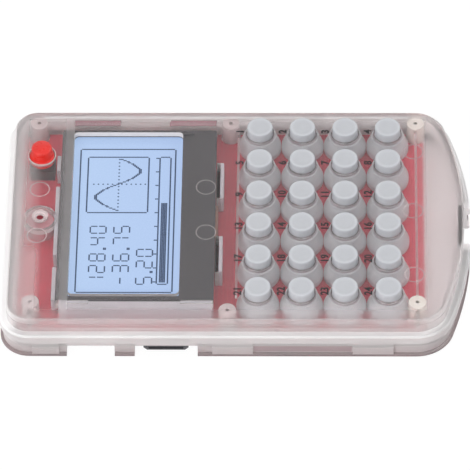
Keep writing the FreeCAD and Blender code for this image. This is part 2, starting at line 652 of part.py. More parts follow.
def make_lower_shell():
    """Tray with screw posts, board pegs and the gaps for card and plug."""
    body = new_body("lower_shell")
    rim = draw_outline(body, "RimOutline", "0", "0")
    raise_from(body, rim, "Dims.base_rim", "Rim")
    doc.recompute()
    bevel_edges(body, level_edges(body.Shape, 0), "Dims.base_bevel", "BaseBevel")
    tray = draw_outline(body, "TrayOutline", "Dims.base_rim", "Dims.setback")
    raise_from(body, tray, "Dims.parting_height - Dims.base_rim", "Tray")
    tabs = draw_tabs(body, "TabOutline", "Dims.base_rim")
    raise_from(body, tabs, "Dims.parting_height - Dims.base_rim", "Tabs")
    hollow = draw_outline(body, "TrayHollow", "Dims.base_thickness", "Layout.skirt_inset")
    cut_up(body, hollow, "Dims.parting_height - Dims.base_thickness", "TrayCut")
    posts = draw_circles(body, "PostOutline", "Dims.base_thickness", boss_centres(), "Dims.boss_diameter / 2")
    raise_from(body, posts, "Dims.parting_height - Dims.base_thickness", "Posts")
    pegs = Drawing(body, "PegOutline", "Dims.base_thickness")
    for x, y in PEGS:
        pegs.rectangle(x, y, "Dims.peg_side", "Dims.peg_side")
    raise_from(body, pegs, "Layout.board_under - Dims.base_thickness", "Pegs")
    holes = draw_circles(body, "ShankHoleOutline", "0", boss_centres(),
                         "Dims.screw_diameter / 2 + Dims.stem_gap")
    cut_up(body, holes, "Dims.parting_height", "ShankHoles")
    heads = draw_circles(body, "HeadHoleOutline", "0", boss_centres(), "Dims.screw_head / 2 + Dims.head_gap")
    cut_up(body, heads, "Dims.screw_seat", "HeadHoles")
    gaps = Drawing(body, "SocketGapOutline", "0")
    for x, width in (("Layout.card_x", "Dims.card_notch_width"),
                     ("Layout.cable_x", "Dims.cable_notch_width")):
        gaps.rectangle(x, "-Layout.half_width + Dims.notch_depth / 2", width, "Dims.notch_depth")
    cut_up(body, gaps, "Dims.parting_height", "SocketGaps")
    back_end_notch(body, "Dims.base_thickness", "Dims.parting_height - Dims.base_thickness")
    cut_end_notch(body, "0", "Dims.parting_height")
    return body


def make_board():
    """Circuit board, cut away round the screw bosses."""
    body = new_body("circuit_board")
    drawing = Drawing(body, "BoardOutline", "Layout.board_under")
    drawing.rounded_rectangle("(Layout.board_left + Layout.board_right) / 2", "0",
                              "Layout.board_right - Layout.board_left", "-2 * Layout.board_front",
                              "Dims.board_corner")
    raise_from(body, drawing, "Dims.board_thickness", "Board")
    holes = draw_circles(body, "BossHoleOutline", "Layout.board_under", boss_centres(),
                         "Dims.boss_diameter / 2 + Dims.boss_gap")
    cut_up(body, holes, "Dims.board_thickness", "BossHoles")
    return body


def make_display():
    """Frame with a lip over the glass, the glass, the backlight below it, and the ribbon."""
    frame = new_body("display_frame")
    drawing = Drawing(frame, "FrameOutline", "Layout.frame_under")
    drawing.rectangle("Layout.display_x", "Dims.display_shift", "Dims.display_width", "Dims.display_length")
    raise_from(frame, drawing, "Dims.frame_height", "Frame")
    seat = Drawing(frame, "GlassSeatOutline", "Layout.frame_under")
    seat.rectangle("Layout.display_x", "Dims.display_shift", "Dims.display_width - 2 * Dims.frame_wall",
                   "Dims.display_length - 2 * Dims.frame_wall")
    cut_up(frame, seat, "Dims.frame_height - Dims.frame_lip", "GlassSeat")
    view = Drawing(frame, "ViewOutline", "Layout.glass_top")
    open_width = "Dims.display_width - Dims.frame_edge - Dims.frame_ledge"
    view.rectangle("Layout.display_x - (Dims.frame_ledge - Dims.frame_edge) / 2", "Dims.display_shift",
                   open_width, "Dims.display_length - 2 * Dims.frame_edge")
    cut_up(frame, view, "Dims.frame_lip", "ViewOpening")

    glass = new_body("display_glass")
    drawing = Drawing(glass, "GlassOutline", "Layout.frame_under")
    drawing.rectangle("Layout.display_x", "Dims.display_shift", "Layout.glass_width", "Layout.glass_length")
    raise_from(glass, drawing, "Layout.glass_top - Layout.frame_under", "Glass")

    light = new_body("display_backlight")
    drawing = Drawing(light, "BacklightOutline", "Dims.board_height")
    drawing.rectangle("Layout.display_x", "Dims.display_shift", "Layout.glass_width", "Layout.glass_length")
    raise_from(light, drawing, "Layout.frame_under - Dims.board_height", "Backlight")

    ribbon = new_body("display_ribbon")
    drawing = Drawing(ribbon, "RibbonOutline", "-Dims.ribbon_width / 2", plane="XZ_Plane")
    inner_x, outer_x = "Layout.ribbon_x - Dims.ribbon_thickness", "Layout.ribbon_x"
    top, foot = "Layout.frame_under", "Dims.board_height"
    start = "Layout.display_right - Dims.frame_wall - Dims.glass_gap"
    drawing.polygon([
        (start, f"{top} - Dims.ribbon_thickness"),
        (inner_x, f"{top} - Dims.ribbon_thickness"),
        (inner_x, foot),
        (outer_x, foot),
        (outer_x, top),
        (start, top),
    ])
    raise_from(ribbon, drawing, "Dims.ribbon_width", "Ribbon")
    return [frame, glass, light, ribbon]


def make_key_switches():
    """Plastic bases and metal covers of the key switches, each open for its key's stem."""
    well = "Dims.stem_side + 2 * Dims.stem_gap"
    bases = new_body("key_switch_bases")
    drawing = draw_first_square(bases, "BaseOutline", "Dims.board_height", "Dims.switch_side")
    block = raise_from(bases, drawing, "Dims.switch_height - Dims.switch_cover", "Base")
    drawing = draw_first_square(bases, "WellOutline", "Layout.well_floor", well)
    hollow = cut_up(bases, drawing, "Layout.switch_top - Layout.well_floor", "Well")
    repeat_on_grid(bases, [block, hollow])

    covers = new_body("key_switch_covers")
    under = "Layout.switch_top - Dims.switch_cover"
    drawing = draw_first_square(covers, "CoverOutline", under, "Dims.switch_side")
    sheet = raise_from(covers, drawing, "Dims.switch_cover", "Cover")
    drawing = draw_first_square(covers, "StemHoleOutline", under, well)
    hole = cut_up(covers, drawing, "Dims.switch_cover", "StemHole")
    repeat_on_grid(covers, [sheet, hole])
    return [bases, covers]


def turn_profile(body, corners, name):
    """Turn a closed profile, given as radius and height pairs, about the body's upright axis."""
    drawing = Drawing(body, f"{name}Profile", plane="XZ_Plane")
    drawing.polygon(corners)
    turned = body.newObject("PartDesign::Revolution", name)
    turned.Profile = drawing.finish()
    turned.ReferenceAxis = (drawing.sketch, ["V_Axis"])
    turned.Angle = 360
    return turned


def add_stem(body, side, foot, top):
    """A square stem on the body's axis, between two heights."""
    drawing = Drawing(body, "StemOutline", foot)
    drawing.rectangle("0", "0", side, side)
    raise_from(body, drawing, f"{top} - ({foot})", "Stem")


def stand_at(body, x, y):
    """Bind a body's place on the case."""
    body.setExpression("Placement.Base.x", x)
    body.setExpression("Placement.Base.y", y)


def make_keys():
    """One cap with its flange and stem for each key."""
    keys = []
    for number, (x, y) in enumerate(key_places(), 1):
        body = new_body(f"key_{number:02d}")
        drawing = Drawing(body, "FlangeOutline", "Layout.flange_under")
        turns = [f"{360 * flat / FLANGE_FLATS}" for flat in range(FLANGE_FLATS)]
        drawing.polygon([(f"Dims.flange_diameter / 2 * cos({turn})",
                          f"Dims.flange_diameter / 2 * sin({turn})") for turn in turns])
        raise_from(body, drawing, "Layout.flange_top - Layout.flange_under", "Flange")
        drawing = Drawing(body, "CapOutline", "Layout.flange_top")
        drawing.circle("0", "0", "Dims.cap_diameter / 2")
        raise_from(body, drawing, "Dims.case_height + Dims.cap_height - Layout.flange_top", "Cap")
        add_stem(body, "Dims.stem_side", "Layout.switch_top - Dims.stem_reach", "Layout.flange_under")
        stand_at(body, x, y)
        keys.append(body)
    return keys


def make_stop_button():
    """Red button with its flange and stem, and the switch under it."""
    button = new_body("stop_button")
    radius, flange = "Dims.stop_diameter / 2", "Dims.stop_flange / 2"
    top = "Dims.case_height + Dims.stop_height"
    turn_profile(button, [
        ("0", "Layout.stop_flange_under"),
        (flange, "Layout.stop_flange_under"),
        (flange, "Layout.stop_flange_top"),
        (radius, "Layout.stop_flange_top"),
        (radius, top),
        ("0", top),
    ], "Cap")
    doc.recompute()
    bevel_edges(button, level_edges(button.Shape, value(top)), "Dims.stop_bevel", "CapBevel")
    add_stem(button, "Dims.stop_stem", "Layout.stop_switch_top - Dims.stop_stem_reach",
             "Layout.stop_flange_under")
    stand_at(button, "Layout.stop_x", "Layout.stop_y")

    switch = new_body("stop_switch")
    drawing = Drawing(switch, "SwitchOutline", "Dims.board_height")
    drawing.rectangle("0", "0", "Dims.stop_switch_side", "Dims.stop_switch_side")
    raise_from(switch, drawing, "Layout.stop_switch_top - Dims.board_height", "Switch")
    well = Drawing(switch, "WellOutline", "Layout.stop_well_floor")
    well.rectangle("0", "0", "Dims.stop_stem + 2 * Dims.stem_gap", "Dims.stop_stem + 2 * Dims.stem_gap")
    cut_up(switch, well, "Layout.stop_switch_top - Layout.stop_well_floor", "Well")
    stand_at(switch, "Layout.stop_x", "Layout.stop_y")
    return [button, switch]


def make_buzzer():
    """Round sounder with a hole in its top, under the sound hole."""
    body = new_body("buzzer")
    hole = "Dims.buzzer_hole / 2"
    radius, top = "Dims.buzzer_diameter / 2", "Dims.board_height + Dims.buzzer_height"
    floor = f"{top} - Dims.sound_hole"
    turn_profile(body, [
        ("0", "Dims.board_height"),
        (radius, "Dims.board_height"),
        (radius, top),
        (hole, top),
        (hole, floor),
        ("0", floor),
    ], "Can")
    stand_at(body, "Layout.buzzer_x", "Layout.buzzer_y")
    return body


def make_card_socket():
    """Flat socket under the board's edge, with a slot for a card."""
    body = new_body("card_socket")
    front = "Layout.board_front - Dims.card_socket_lead"
    foot = "Layout.board_under - Dims.card_socket_height"
    drawing = Drawing(body, "SocketOutline", foot)
    drawing.rectangle("Layout.card_x", f"{front} + Dims.card_socket_depth / 2", "Dims.card_socket_width",
                      "Dims.card_socket_depth")
    raise_from(body, drawing, "Dims.card_socket_height", "Socket")
    slot = Drawing(body, "SlotOutline", f"{foot} + (Dims.card_socket_height - Dims.card_slot_height) / 2")
    slot.rectangle("Layout.card_x", f"{front} + Dims.mouth_depth / 2", "Dims.card_slot_width",
                   "Dims.mouth_depth")
    cut_up(body, slot, "Dims.card_slot_height", "Slot")
    return body


def make_cable_socket():
    """Keyed socket that passes below the upper shell's wall; its back part rises to the board."""
    body = new_body("cable_socket")
    front = "Layout.board_front - Dims.cable_socket_lead"
    foot = "Layout.board_under - Dims.cable_socket_height"
    nose = "Dims.parting_height - Dims.socket_gap - Layout.board_under + Dims.cable_socket_height"
    drawing = Drawing(body, "NoseOutline", foot)
    drawing.rectangle("Layout.cable_x", f"{front} + Dims.cable_socket_depth / 2", "Dims.cable_socket_width",
                      "Dims.cable_socket_depth")
    raise_from(body, drawing, nose, "Nose")
    doc.recompute()
    sides = [name for name in level_edges(body.Shape, value(foot))
             if body.Shape.getElement(name).BoundBox.XLength < 1e-4]
    bevel_edges(body, sides, "Dims.cable_socket_bevel", "KeyedCorners")
    back = f"{front} + Dims.cable_socket_depth"
    wall = "-Layout.half_width + Layout.skirt_inset + Dims.socket_gap"
    riser = Drawing(body, "RiserOutline", "Dims.parting_height - Dims.socket_gap")
    riser.rectangle("Layout.cable_x", f"({back} + {wall}) / 2", "Dims.cable_socket_width",
                    f"{back} - ({wall})")
    raise_from(body, riser, "Layout.board_under - Dims.parting_height + Dims.socket_gap", "Riser")
    mouth = Drawing(body, "MouthOutline", f"{foot} + ({nose} - Dims.cable_mouth_height) / 2")
    mouth.rectangle("Layout.cable_x", f"{front} + Dims.mouth_depth / 2", "Dims.cable_mouth_width",
                    "Dims.mouth_depth")
    cut_up(body, mouth, "Dims.cable_mouth_height", "Mouth")
    return body


def make_chip(label, x, y, along_x, along_y, height):
    """A flat chip on the underside of the board."""
    body = new_body(label)
    drawing = Drawing(body, "ChipOutline", f"Layout.board_under - {height}")
    drawing.rectangle(x, y, along_x, along_y)
    raise_from(body, drawing, height, "Chip")
    return body


def make_screws():
    """Case screws, put in from below: heads in the lower shell, shanks in the bosses."""
    body = new_body("case_screws")
    heads = draw_circles(body, "HeadOutline", "Dims.screw_seat - Dims.screw_head_height", boss_centres(),
                         "Dims.screw_head / 2")
    raise_from(body, heads, "Dims.screw_head_height", "Heads")
    shanks = draw_circles(body, "ShankOutline", "Dims.screw_seat", boss_centres(), "Dims.screw_diameter / 2")
    raise_from(body, shanks, "Dims.screw_length", "Shanks")
    return body


def write_parts(parts):
    """Check every object of the document and each part's shape, then write one file per part."""
    doc.recompute()
    failed = [item.Name for item in doc.Objects if "Invalid" in item.State or "Error" in item.State]
    if failed:
        raise RuntimeError("failed objects: " + ", ".join(failed))
    for part in parts:
        if part.Shape.isNull() or not part.Shape.isValid() or not part.Shape.Solids:
            raise RuntimeError(f"{part.Label} has no valid solid")
    os.makedirs("parts", exist_ok=True)
    for part in parts:
        part.Shape.exportStep(f"parts/{part.Label}.step")
        print(part.Label, len(part.Shape.Solids), "solids", round(part.Shape.Volume, 2), "mm3")


parts = [make_upper_shell(), make_lower_shell(), make_board()]
parts += make_display()
parts += make_key_switches()
parts += make_keys()
parts += make_stop_button()
parts.append(make_buzzer())
parts.append(make_card_socket())
parts.append(make_cable_socket())
parts.append(make_chip("controller_chip", "Layout.key_first_x", "0", "Dims.chip_side", "Dims.chip_side",
                       "Dims.chip_height"))
parts.append(make_chip("memory_chip", "Layout.display_x", "0", "Dims.memory_length", "Dims.memory_width",
                       "Dims.memory_height"))
parts.append(make_screws())
write_parts(parts)
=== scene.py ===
"""Looks of a hand-held offline controller: frosted clear case, red board, lit display, keys."""
import math

import bmesh
import bpy
import numpy as np
from bpy.props import FloatProperty, FloatVectorProperty, PointerProperty
from mathutils import Matrix, Vector


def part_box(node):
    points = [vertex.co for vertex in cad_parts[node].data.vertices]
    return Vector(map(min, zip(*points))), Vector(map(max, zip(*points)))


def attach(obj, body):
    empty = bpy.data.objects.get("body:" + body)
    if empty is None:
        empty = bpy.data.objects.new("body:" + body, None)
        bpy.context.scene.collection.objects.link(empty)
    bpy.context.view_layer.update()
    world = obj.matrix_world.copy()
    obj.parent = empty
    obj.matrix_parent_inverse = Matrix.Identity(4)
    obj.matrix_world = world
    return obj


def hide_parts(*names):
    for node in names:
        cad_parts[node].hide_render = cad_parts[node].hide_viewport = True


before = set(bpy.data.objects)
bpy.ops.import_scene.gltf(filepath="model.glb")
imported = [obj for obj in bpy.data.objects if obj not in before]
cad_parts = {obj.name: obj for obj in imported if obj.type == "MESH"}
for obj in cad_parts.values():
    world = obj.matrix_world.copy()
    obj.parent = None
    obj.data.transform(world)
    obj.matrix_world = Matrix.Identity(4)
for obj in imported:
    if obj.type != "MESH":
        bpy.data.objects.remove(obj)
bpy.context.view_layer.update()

bl_info = {
    "name": "Offline controller looks",
    "version": (1, 0, 0),
    "blender": (4, 5, 0),
    "location": "View3D > Sidebar > Controller",
    "description": ("Dresses the packed offline controller with its finishes, keys, display "
                    "and stage"),
    "category": "Object",
}

MM = 0.001
KEYS = [f"key_{number:02d}" for number in range(1, 25)]
PLATE_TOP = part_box("upper_shell")[1].z
PLATE_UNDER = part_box("display_frame")[1].z
BOARD_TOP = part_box("circuit_board")[1].z
BOARD_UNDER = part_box("circuit_board")[0].z
GLASS_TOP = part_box("display_glass")[1].z

# Points that are closer are merged (metres), flatter corners stay straight (radians), and steeper
# edges are drawn sharp (degrees).
SAME_POINT = 1e-7
STRAIGHT = 1e-3
SHARP_EDGE = 35
# Points in each quarter turn of a rounded rectangle.
CORNER_STEPS = 8

# Places on the case in mm; rectangles as left, front, right and back.
WINDOW = (-56.0, -35.7, -18.9, 37.7)
WINDOW_CORNER = 1.6
LIP = (-58.4, -35.5, -15.1, 38.3)
# Painted highlight along the top edge of the back wall.
WALL_HIGHLIGHT = (-66.8, 44.3, 58.0, 45.05)
BOSSES = [(-68.3, 43.2), (-2.7, 43.2), (60.4, 43.2), (-68.3, -38.0), (-2.7, -41.6), (60.4, -38.0)]
EJECTOR_MARKS = [(-67.0, 12.6), (-67.2, -8.4), (-10.7, 13.6), (-10.4, -6.9),
                 (59.6, 30.0), (59.4, 2.9), (59.5, -25.8)]

# The case from the foot up: height in mm, share of its colour, kind of haze and how much of it.
# The shares paint light and shade: a painted contact shadow on the dark foot, painted shade on
# the lower wall under the upper shell's overhang, and painted highlights on the parting line
# and on the ledge's edge.
CASE_BANDS = (
    (0.00, 0.95, "side", 0.9), (0.04, 0.11, "full", 0.90), (1.30, 0.13, "full", 0.90),
    (1.70, 0.62, "side", 1.5), (1.94, 0.62, "side", 1.5), (1.98, 0.86, "side", 0.8),
    (2.02, 0.86, "side", 0.8), (2.06, 0.64, "side", 1.5), (4.60, 0.70, "side", 1.5),
    (4.85, 0.95, "side", 1.5), (5.10, 0.93, "side", 1.3), (9.50, 0.95, "side", 1.3),
    (9.65, 1.05, "full", 0.85), (10.22, 1.05, "full", 0.85), (10.40, 0.97, "side", 1.0),
    (13.90, 0.97, "side", 1.0), (13.97, 1.0, "face", 1.0), (14.03, 1.0, "face", 1.0),
    (14.10, 1.0, "edge", 1.0), (15.90, 1.0, "edge", 1.0), (15.97, 1.0, "face", 1.0))

# Plain finishes: colour, grain in mm, least and most roughness, relief in mm, share by which the
# colour varies, and the shader's other sockets.
PALETTE = {
    "rib_plastic": ((0.90, 0.89, 0.95), 6.0, (0.4, 0.55), 0.0, 0.04,
                    {"IOR": 1.3, "Transmission_Weight": 0.35}),
    # Dark red strips of painted shade in the back latches' recesses.
    "latch_shade": ((0.40, 0.16, 0.20), 6.0, (0.4, 0.55), 0.0, 0.06, {}),
    "boss_sleeves": ((0.97, 0.82, 0.82), 4.0, (0.4, 0.55), 0.0, 0.05,
                     {"IOR": 1.3, "Transmission_Weight": 0.3}),
    "end_boss_sleeves": ((1.0, 0.92, 0.85), 4.0, (0.4, 0.55), 0.0, 0.05, {"IOR": 1.3}),
    "mark_plastic": ((1.0, 0.93, 0.94), 2.0, (0.3, 0.4), 0.0, 0.04, {"Alpha": 0.45}),
    # Dark ring in each key's hole: painted shadow of the gap round the key.
    "hole_edge": ((0.34, 0.32, 0.34), 1.0, (0.3, 0.45), 0.0, 0.1, {"Alpha": 0.34}),
    # Pale cut plastic; on the stop button's hole it is also a painted highlight of the chamfer.
    "cut_edge": ((0.93, 0.88, 0.85), 1.0, (0.3, 0.45), 0.0, 0.04, {"Alpha": 0.75}),
    "mouth_plastic": ((0.93, 0.80, 0.81), 1.0, (0.3, 0.45), 0.0, 0.04, {"Alpha": 0.55}),
    # Dark disc in the sound hole: painted shade of the hole.
    "sounder_hole": ((0.26, 0.02, 0.035), 0.5, (0.5, 0.6), 0.0, 0.1, {}),
    # White line: painted highlight along the back wall's top edge.
    "wall_highlight": ((0.98, 0.97, 0.98), 3.0, (0.3, 0.45), 0.0, 0.04, {"Alpha": 0.85}),
    "guide_plastic": ((0.90, 0.95, 1.0), 3.0, (0.3, 0.42), 0.003, 0.03,
                      {"IOR": 1.45, "Alpha": 0.68, "Sheen_Weight": 1.0, "Sheen_Roughness": 0.35}),
    "stop_plastic": (None, 3.0, (0.24, 0.36), 0.006, 0.05, {"IOR": 1.5}),
    "black_ink": ((0.022, 0.018, 0.02), 0.8, (0.4, 0.6), 0.0, 0.3, {}),
    "dark_dots": ((0.045, 0.075, 0.15), 1.0, (0.3, 0.45), 0.0, 0.15, {}),
    "display_frame": ((0.022, 0.022, 0.03), 2.0, (0.45, 0.6), 0.0, 0.08, {}),
    "dark_plastic": ((0.035, 0.035, 0.04), 1.5, (0.35, 0.55), 0.01, 0.2, {}),
    "grey_plastic": ((0.045, 0.04, 0.045), 1.5, (0.4, 0.55), 0.01, 0.15, {}),
    "pale_plastic": ((0.70, 0.32, 0.36), 2.0, (0.4, 0.55), 0.01, 0.06, {}),
    "backlight": ((0.80, 0.82, 0.85), 2.0, (0.4, 0.55), 0.01, 0.04, {}),
    "ribbon": ((0.34, 0.17, 0.12), 0.8, (0.3, 0.45), 0.004, 0.15, {}),
    "socket_plastic": ((0.085, 0.082, 0.09), 1.0, (0.4, 0.55), 0.01, 0.2, {}),
    "switch_metal": ((0.62, 0.62, 0.61), 1.2, (0.26, 0.42), 0.004, 0.08, {"Metallic": 1.0}),
    "screw_steel": ((0.55, 0.55, 0.54), 0.6, (0.25, 0.4), 0.004, 0.1, {"Metallic": 1.0}),
}


def middle(node):
    """Middle of a CAD node's box."""
    low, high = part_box(node)
    return (low + high) / 2


def spots_of(*nodes):
    """Where the middles of CAD nodes are, seen from above."""
    return [tuple(middle(node).xy) for node in nodes]


def metres(places):
    """Places in mm as places in metres."""
    return [(x * MM, y * MM) for x, y in places]


# Shapes

def rounded(corners, steps=6):
    """Line through (radius, height, rounding) corners in mm, each rounded corner drawn as an arc.

    The arc leaves both runs at rounding / tan(half the corner's angle) and swings about the point
    that lies rounding / sin(half the angle) along the bisector: point = centre + slerp of its two
    end spokes.
    """
    corners = np.asarray(corners, float)
    points = [corners[:1, :2]]
    share = np.linspace(0, 1, steps)[:, None]
    for before, corner, after in zip(corners[:-2], corners[1:-1], corners[2:]):
        spot, bend = corner[:2], corner[2]
        back = (before[:2] - spot) / np.linalg.norm(before[:2] - spot)
        ahead = (after[:2] - spot) / np.linalg.norm(after[:2] - spot)
        angle = math.acos(np.clip(back @ ahead, -1, 1))
        sweep = math.pi - angle
        if bend == 0 or sweep < STRAIGHT:
            points.append(spot[None])
            continue
        bisector = (back + ahead) / np.linalg.norm(back + ahead)
        centre = spot + bisector * bend / math.sin(angle / 2)
        first, last = (spot + run * bend / math.tan(angle / 2) - centre for run in (back, ahead))
        spokes = np.sin((1 - share) * sweep) * first + np.sin(share * sweep) * last
        points.append(centre + spokes / math.sin(sweep))
    points.append(corners[-1:, :2])
    return np.concatenate(points)


def turned(profile, places, sides):
    """Profile of (radius, height) in mm turned about upright axes, one at each place.

    x = place + radius cos t, y = place + radius sin t, z = height, t once round.
    """
    turn = np.linspace(0, 2 * math.pi, sides, endpoint=False)[:, None]
    radius, height = np.asarray(profile, float).T
    ring = np.stack([radius * np.cos(turn), radius * np.sin(turn), height + 0 * turn], -1) * MM
    spots = np.asarray([(x, y, 0) for x, y in places], float)
    return spots[:, None, None, :] + ring[None]


def hoop(inner, outer, low, high):
    """Profile of a ring between two radii and two heights, in mm."""
    return [(inner, low), (inner, high), (outer, high), (outer, low), (inner, low)]


def rounded_box(left, front, right, back, radius):
    """Outline of a rectangle with round corners: corner's centre + radius (cos t, sin t), in mm."""
    quarter = np.linspace(0, math.pi / 2, CORNER_STEPS)
    turn = np.concatenate([quarter + corner * math.pi / 2 for corner in range(4)])
    x = np.repeat([right - radius, left + radius, left + radius, right - radius], CORNER_STEPS)
    y = np.repeat([back - radius, back - radius, front + radius, front + radius], CORNER_STEPS)
    return np.stack([x + radius * np.cos(turn), y + radius * np.sin(turn)], -1)


def stacked(rings):
    """Outlines of equal numbers of points, each with its height in mm, side by side as one grid."""
    levels = [np.column_stack([loop, np.full(len(loop), height)]) for loop, height in rings]
    return np.stack(levels, 1)[None] * MM


def upright(outline, low, high):
    """Solid over an outline between two heights in mm: a ring at each end shrinks to a point."""
    point = 0 * outline + outline.mean(0)
    return stacked([(point, low), (outline, low), (outline, high), (point, high)])


def prisms(name, outlines, low, high):
    """Upright prism over each outline: its points at both heights, two ends and a quad per side."""
    count, corners, _ = outlines.shape
    levels = np.array([low, high])[None, :, None, None]
    heights = np.broadcast_to(levels, (count, 2, corners, 1))
    points = np.concatenate([np.repeat(outlines[:, None], 2, 1), heights], -1).reshape(-1, 3)
    first = np.arange(count)[:, None] * 2 * corners
    here = np.arange(corners)
    ahead = (here + 1) % corners
    sides = np.stack([here, ahead, ahead + corners, here + corners], -1)
    faces = (first + here[::-1]).tolist() + (first + here + corners).tolist()
    faces += (first[:, None] + sides[None]).reshape(-1, 4).tolist()
    mesh = bpy.data.meshes.new(name)
    mesh.from_pydata(points.tolist(), [], faces)
    return mesh


def sew(shape, least=SAME_POINT):
    """Merge doubled points, drop edges that are shorter than the least and turn faces outwards."""
    bmesh.ops.remove_doubles(shape, verts=shape.verts, dist=SAME_POINT)
    bmesh.ops.dissolve_degenerate(shape, edges=shape.edges, dist=least)
    bmesh.ops.recalc_face_normals(shape, faces=shape.faces)


def mesh_of(name, grids, wrap_rows=True, wrap_columns=False):
    """Mesh of a stack of grids of points: each cell (i, j) is the quad of its four neighbours."""
    copies, rows, columns, _ = grids.shape
    row = np.arange(rows if wrap_rows else rows - 1)[:, None]
    column = np.arange(columns if wrap_columns else columns - 1)[None]
    ring = [((row + down) % rows) * columns + (column + right) % columns
            for down, right in ((0, 0), (1, 0), (1, 1), (0, 1))]
    cells = np.stack(np.broadcast_arrays(*ring), -1).reshape(-1, 4)
    cells = cells[None] + (np.arange(copies) * rows * columns)[:, None, None]
    mesh = bpy.data.meshes.new(name)
    mesh.from_pydata(grids.reshape(-1, 3).tolist(), [], cells.reshape(-1, 4).tolist())
    shape = bmesh.new()
    shape.from_mesh(mesh)
    sew(shape)
    shape.to_mesh(mesh)
    shape.free()
    mesh.shade_smooth()
    mesh.set_sharp_from_angle(angle=math.radians(SHARP_EDGE))
    return mesh


def place(name, mesh, finish, body, slot, *nodes):
    """Object for a finished mesh, riding on a body and standing for the CAD nodes it replaces."""
    piece = bpy.data.objects.new(name, mesh)
    bpy.context.scene.collection.objects.link(piece)
    mesh.materials.append(finish)
    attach(piece, body)
    if nodes:
        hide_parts(*nodes)


def case_piece(name, grids, finish, slot="case_plastic", **wraps):
    """Piece that rides the case, from grids of points."""
    place(name, mesh_of(name, grids, **wraps), finish, "case", slot)


def dress(finish, *nodes):
    """Give CAD nodes a finish."""
    for node in nodes:
        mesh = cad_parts[node].data
        mesh.materials.clear()
        mesh.materials.append(finish)


# Finishes

def toned(colour, share, lift=0.0):
    """Colour times one share, or one for each part, plus a lift; no part over 1, and alpha 1."""
    return [min(1.0, part) for part in np.array(colour[:3]) * share + lift] + [1]


class Nodes:
    """Short calls for the nodes of one tree."""

    def __init__(self, tree):
        self.tree = tree

    def link(self, source, socket):
        """Feed an input with a socket or a constant."""
        if isinstance(source, bpy.types.NodeSocket):
            self.tree.links.new(source, socket)
        else:
            socket.default_value = source

    def node(self, kind, links=None, **settings):
        """New node with its settings and what feeds its inputs."""
        made = self.tree.nodes.new(kind)
        for key, setting in settings.items():
            setattr(made, key, setting)
        for socket, source in (links or {}).items():
            self.link(source, made.inputs[socket])
        return made

    def spread(self, source, low, high, start=0.3, end=0.7):
        """Source carried from the range start to end into the range low to high."""
        ranges = {"Value": source, "From Min": start, "From Max": end,
                  "To Min": low, "To Max": high}
        return self.node("ShaderNodeMapRange", ranges).outputs["Result"]

    def over(self, way, start, end, low=0, high=1):
        """Number that goes from low to high while a place goes from start to end, in mm."""
        return self.spread(way, low, high, start * MM, end * MM)

    def sum(self, operation, first, second):
        """One sum of two numbers or sockets."""
        return self.node("ShaderNodeMath", {0: first, 1: second}, operation=operation).outputs[0]

    def times(self, first, second):
        """Product of two numbers or sockets."""
        return self.sum("MULTIPLY", first, second)

    def blend(self, share, first, second):
        """Colour between two, by a share."""
        links = {0: share, 6: first, 7: second}
        return self.node("ShaderNodeMix", links, data_type="RGBA").outputs[2]

    def seen(self):
        """Share that is 1 for what the camera sees, straight, mirrored or through glass."""
        path = self.node("ShaderNodeLightPath").outputs
        mirrored = self.sum("MAXIMUM", path["Is Camera Ray"], path["Is Glossy Ray"])
        return self.sum("MAXIMUM", mirrored, path["Is Transmission Ray"])


class Finish(Nodes):
    """A node material with one Principled shader, on Object coordinates."""

    def __init__(self, name, **constants):
        self.material = bpy.data.materials.new(name)
        self.material.use_nodes = True
        super().__init__(self.material.node_tree)
        self.shader = self.tree.nodes["Principled BSDF"]
        self.where = self.node("ShaderNodeTexCoord").outputs["Object"]
        for socket, number in constants.items():
            self.shader.inputs[socket.replace("_", " ")].default_value = number

    def feed(self, socket, source):
        """Feed one of the shader's inputs."""
        self.link(source, self.shader.inputs[socket])

    def axis(self, letter):
        """Place along the object's X, Y or Z."""
        return self.node("ShaderNodeSeparateXYZ", {0: self.where}).outputs[letter]

    def noise(self, grain, detail=2.0):
        """Noise whose grains are about that many mm across."""
        links = {"Vector": self.where, "Scale": 1 / (grain * MM), "Detail": detail}
        return self.node("ShaderNodeTexNoise", links).outputs["Fac"]

    def relief(self, height, depth):
        """Surface relief of that depth in mm, from a height of 0 to 1."""
        links = {"Height": height, "Distance": depth * MM, "Strength": 0.6}
        self.feed("Normal", self.node("ShaderNodeBump", links).outputs["Normal"])

    def mottle(self, colour, grain, rough, relief, change):
        """Colour that varies by a share of itself, roughness between two numbers, relief in mm."""
        tone = self.spread(self.noise(grain, detail=3.0), 0, 1)
        colour = self.blend(tone, toned(colour, 1 - change), toned(colour, 1 + change))
        self.feed("Base Color", colour)
        self.feed("Roughness", self.spread(self.noise(grain * 0.6, detail=3.0), *rough))
        if relief:
            self.relief(self.noise(grain * 0.25, detail=1.0), relief)
        return colour


def plain_finish(name, colour=None):
    """Finish by its row in the palette, in that row's colour or another one."""
    own, grain, rough, relief, change, constants = PALETTE[name]
    made = Finish(name, **constants)
    made.mottle(colour or own, grain, rough, relief, change)
    return made.material


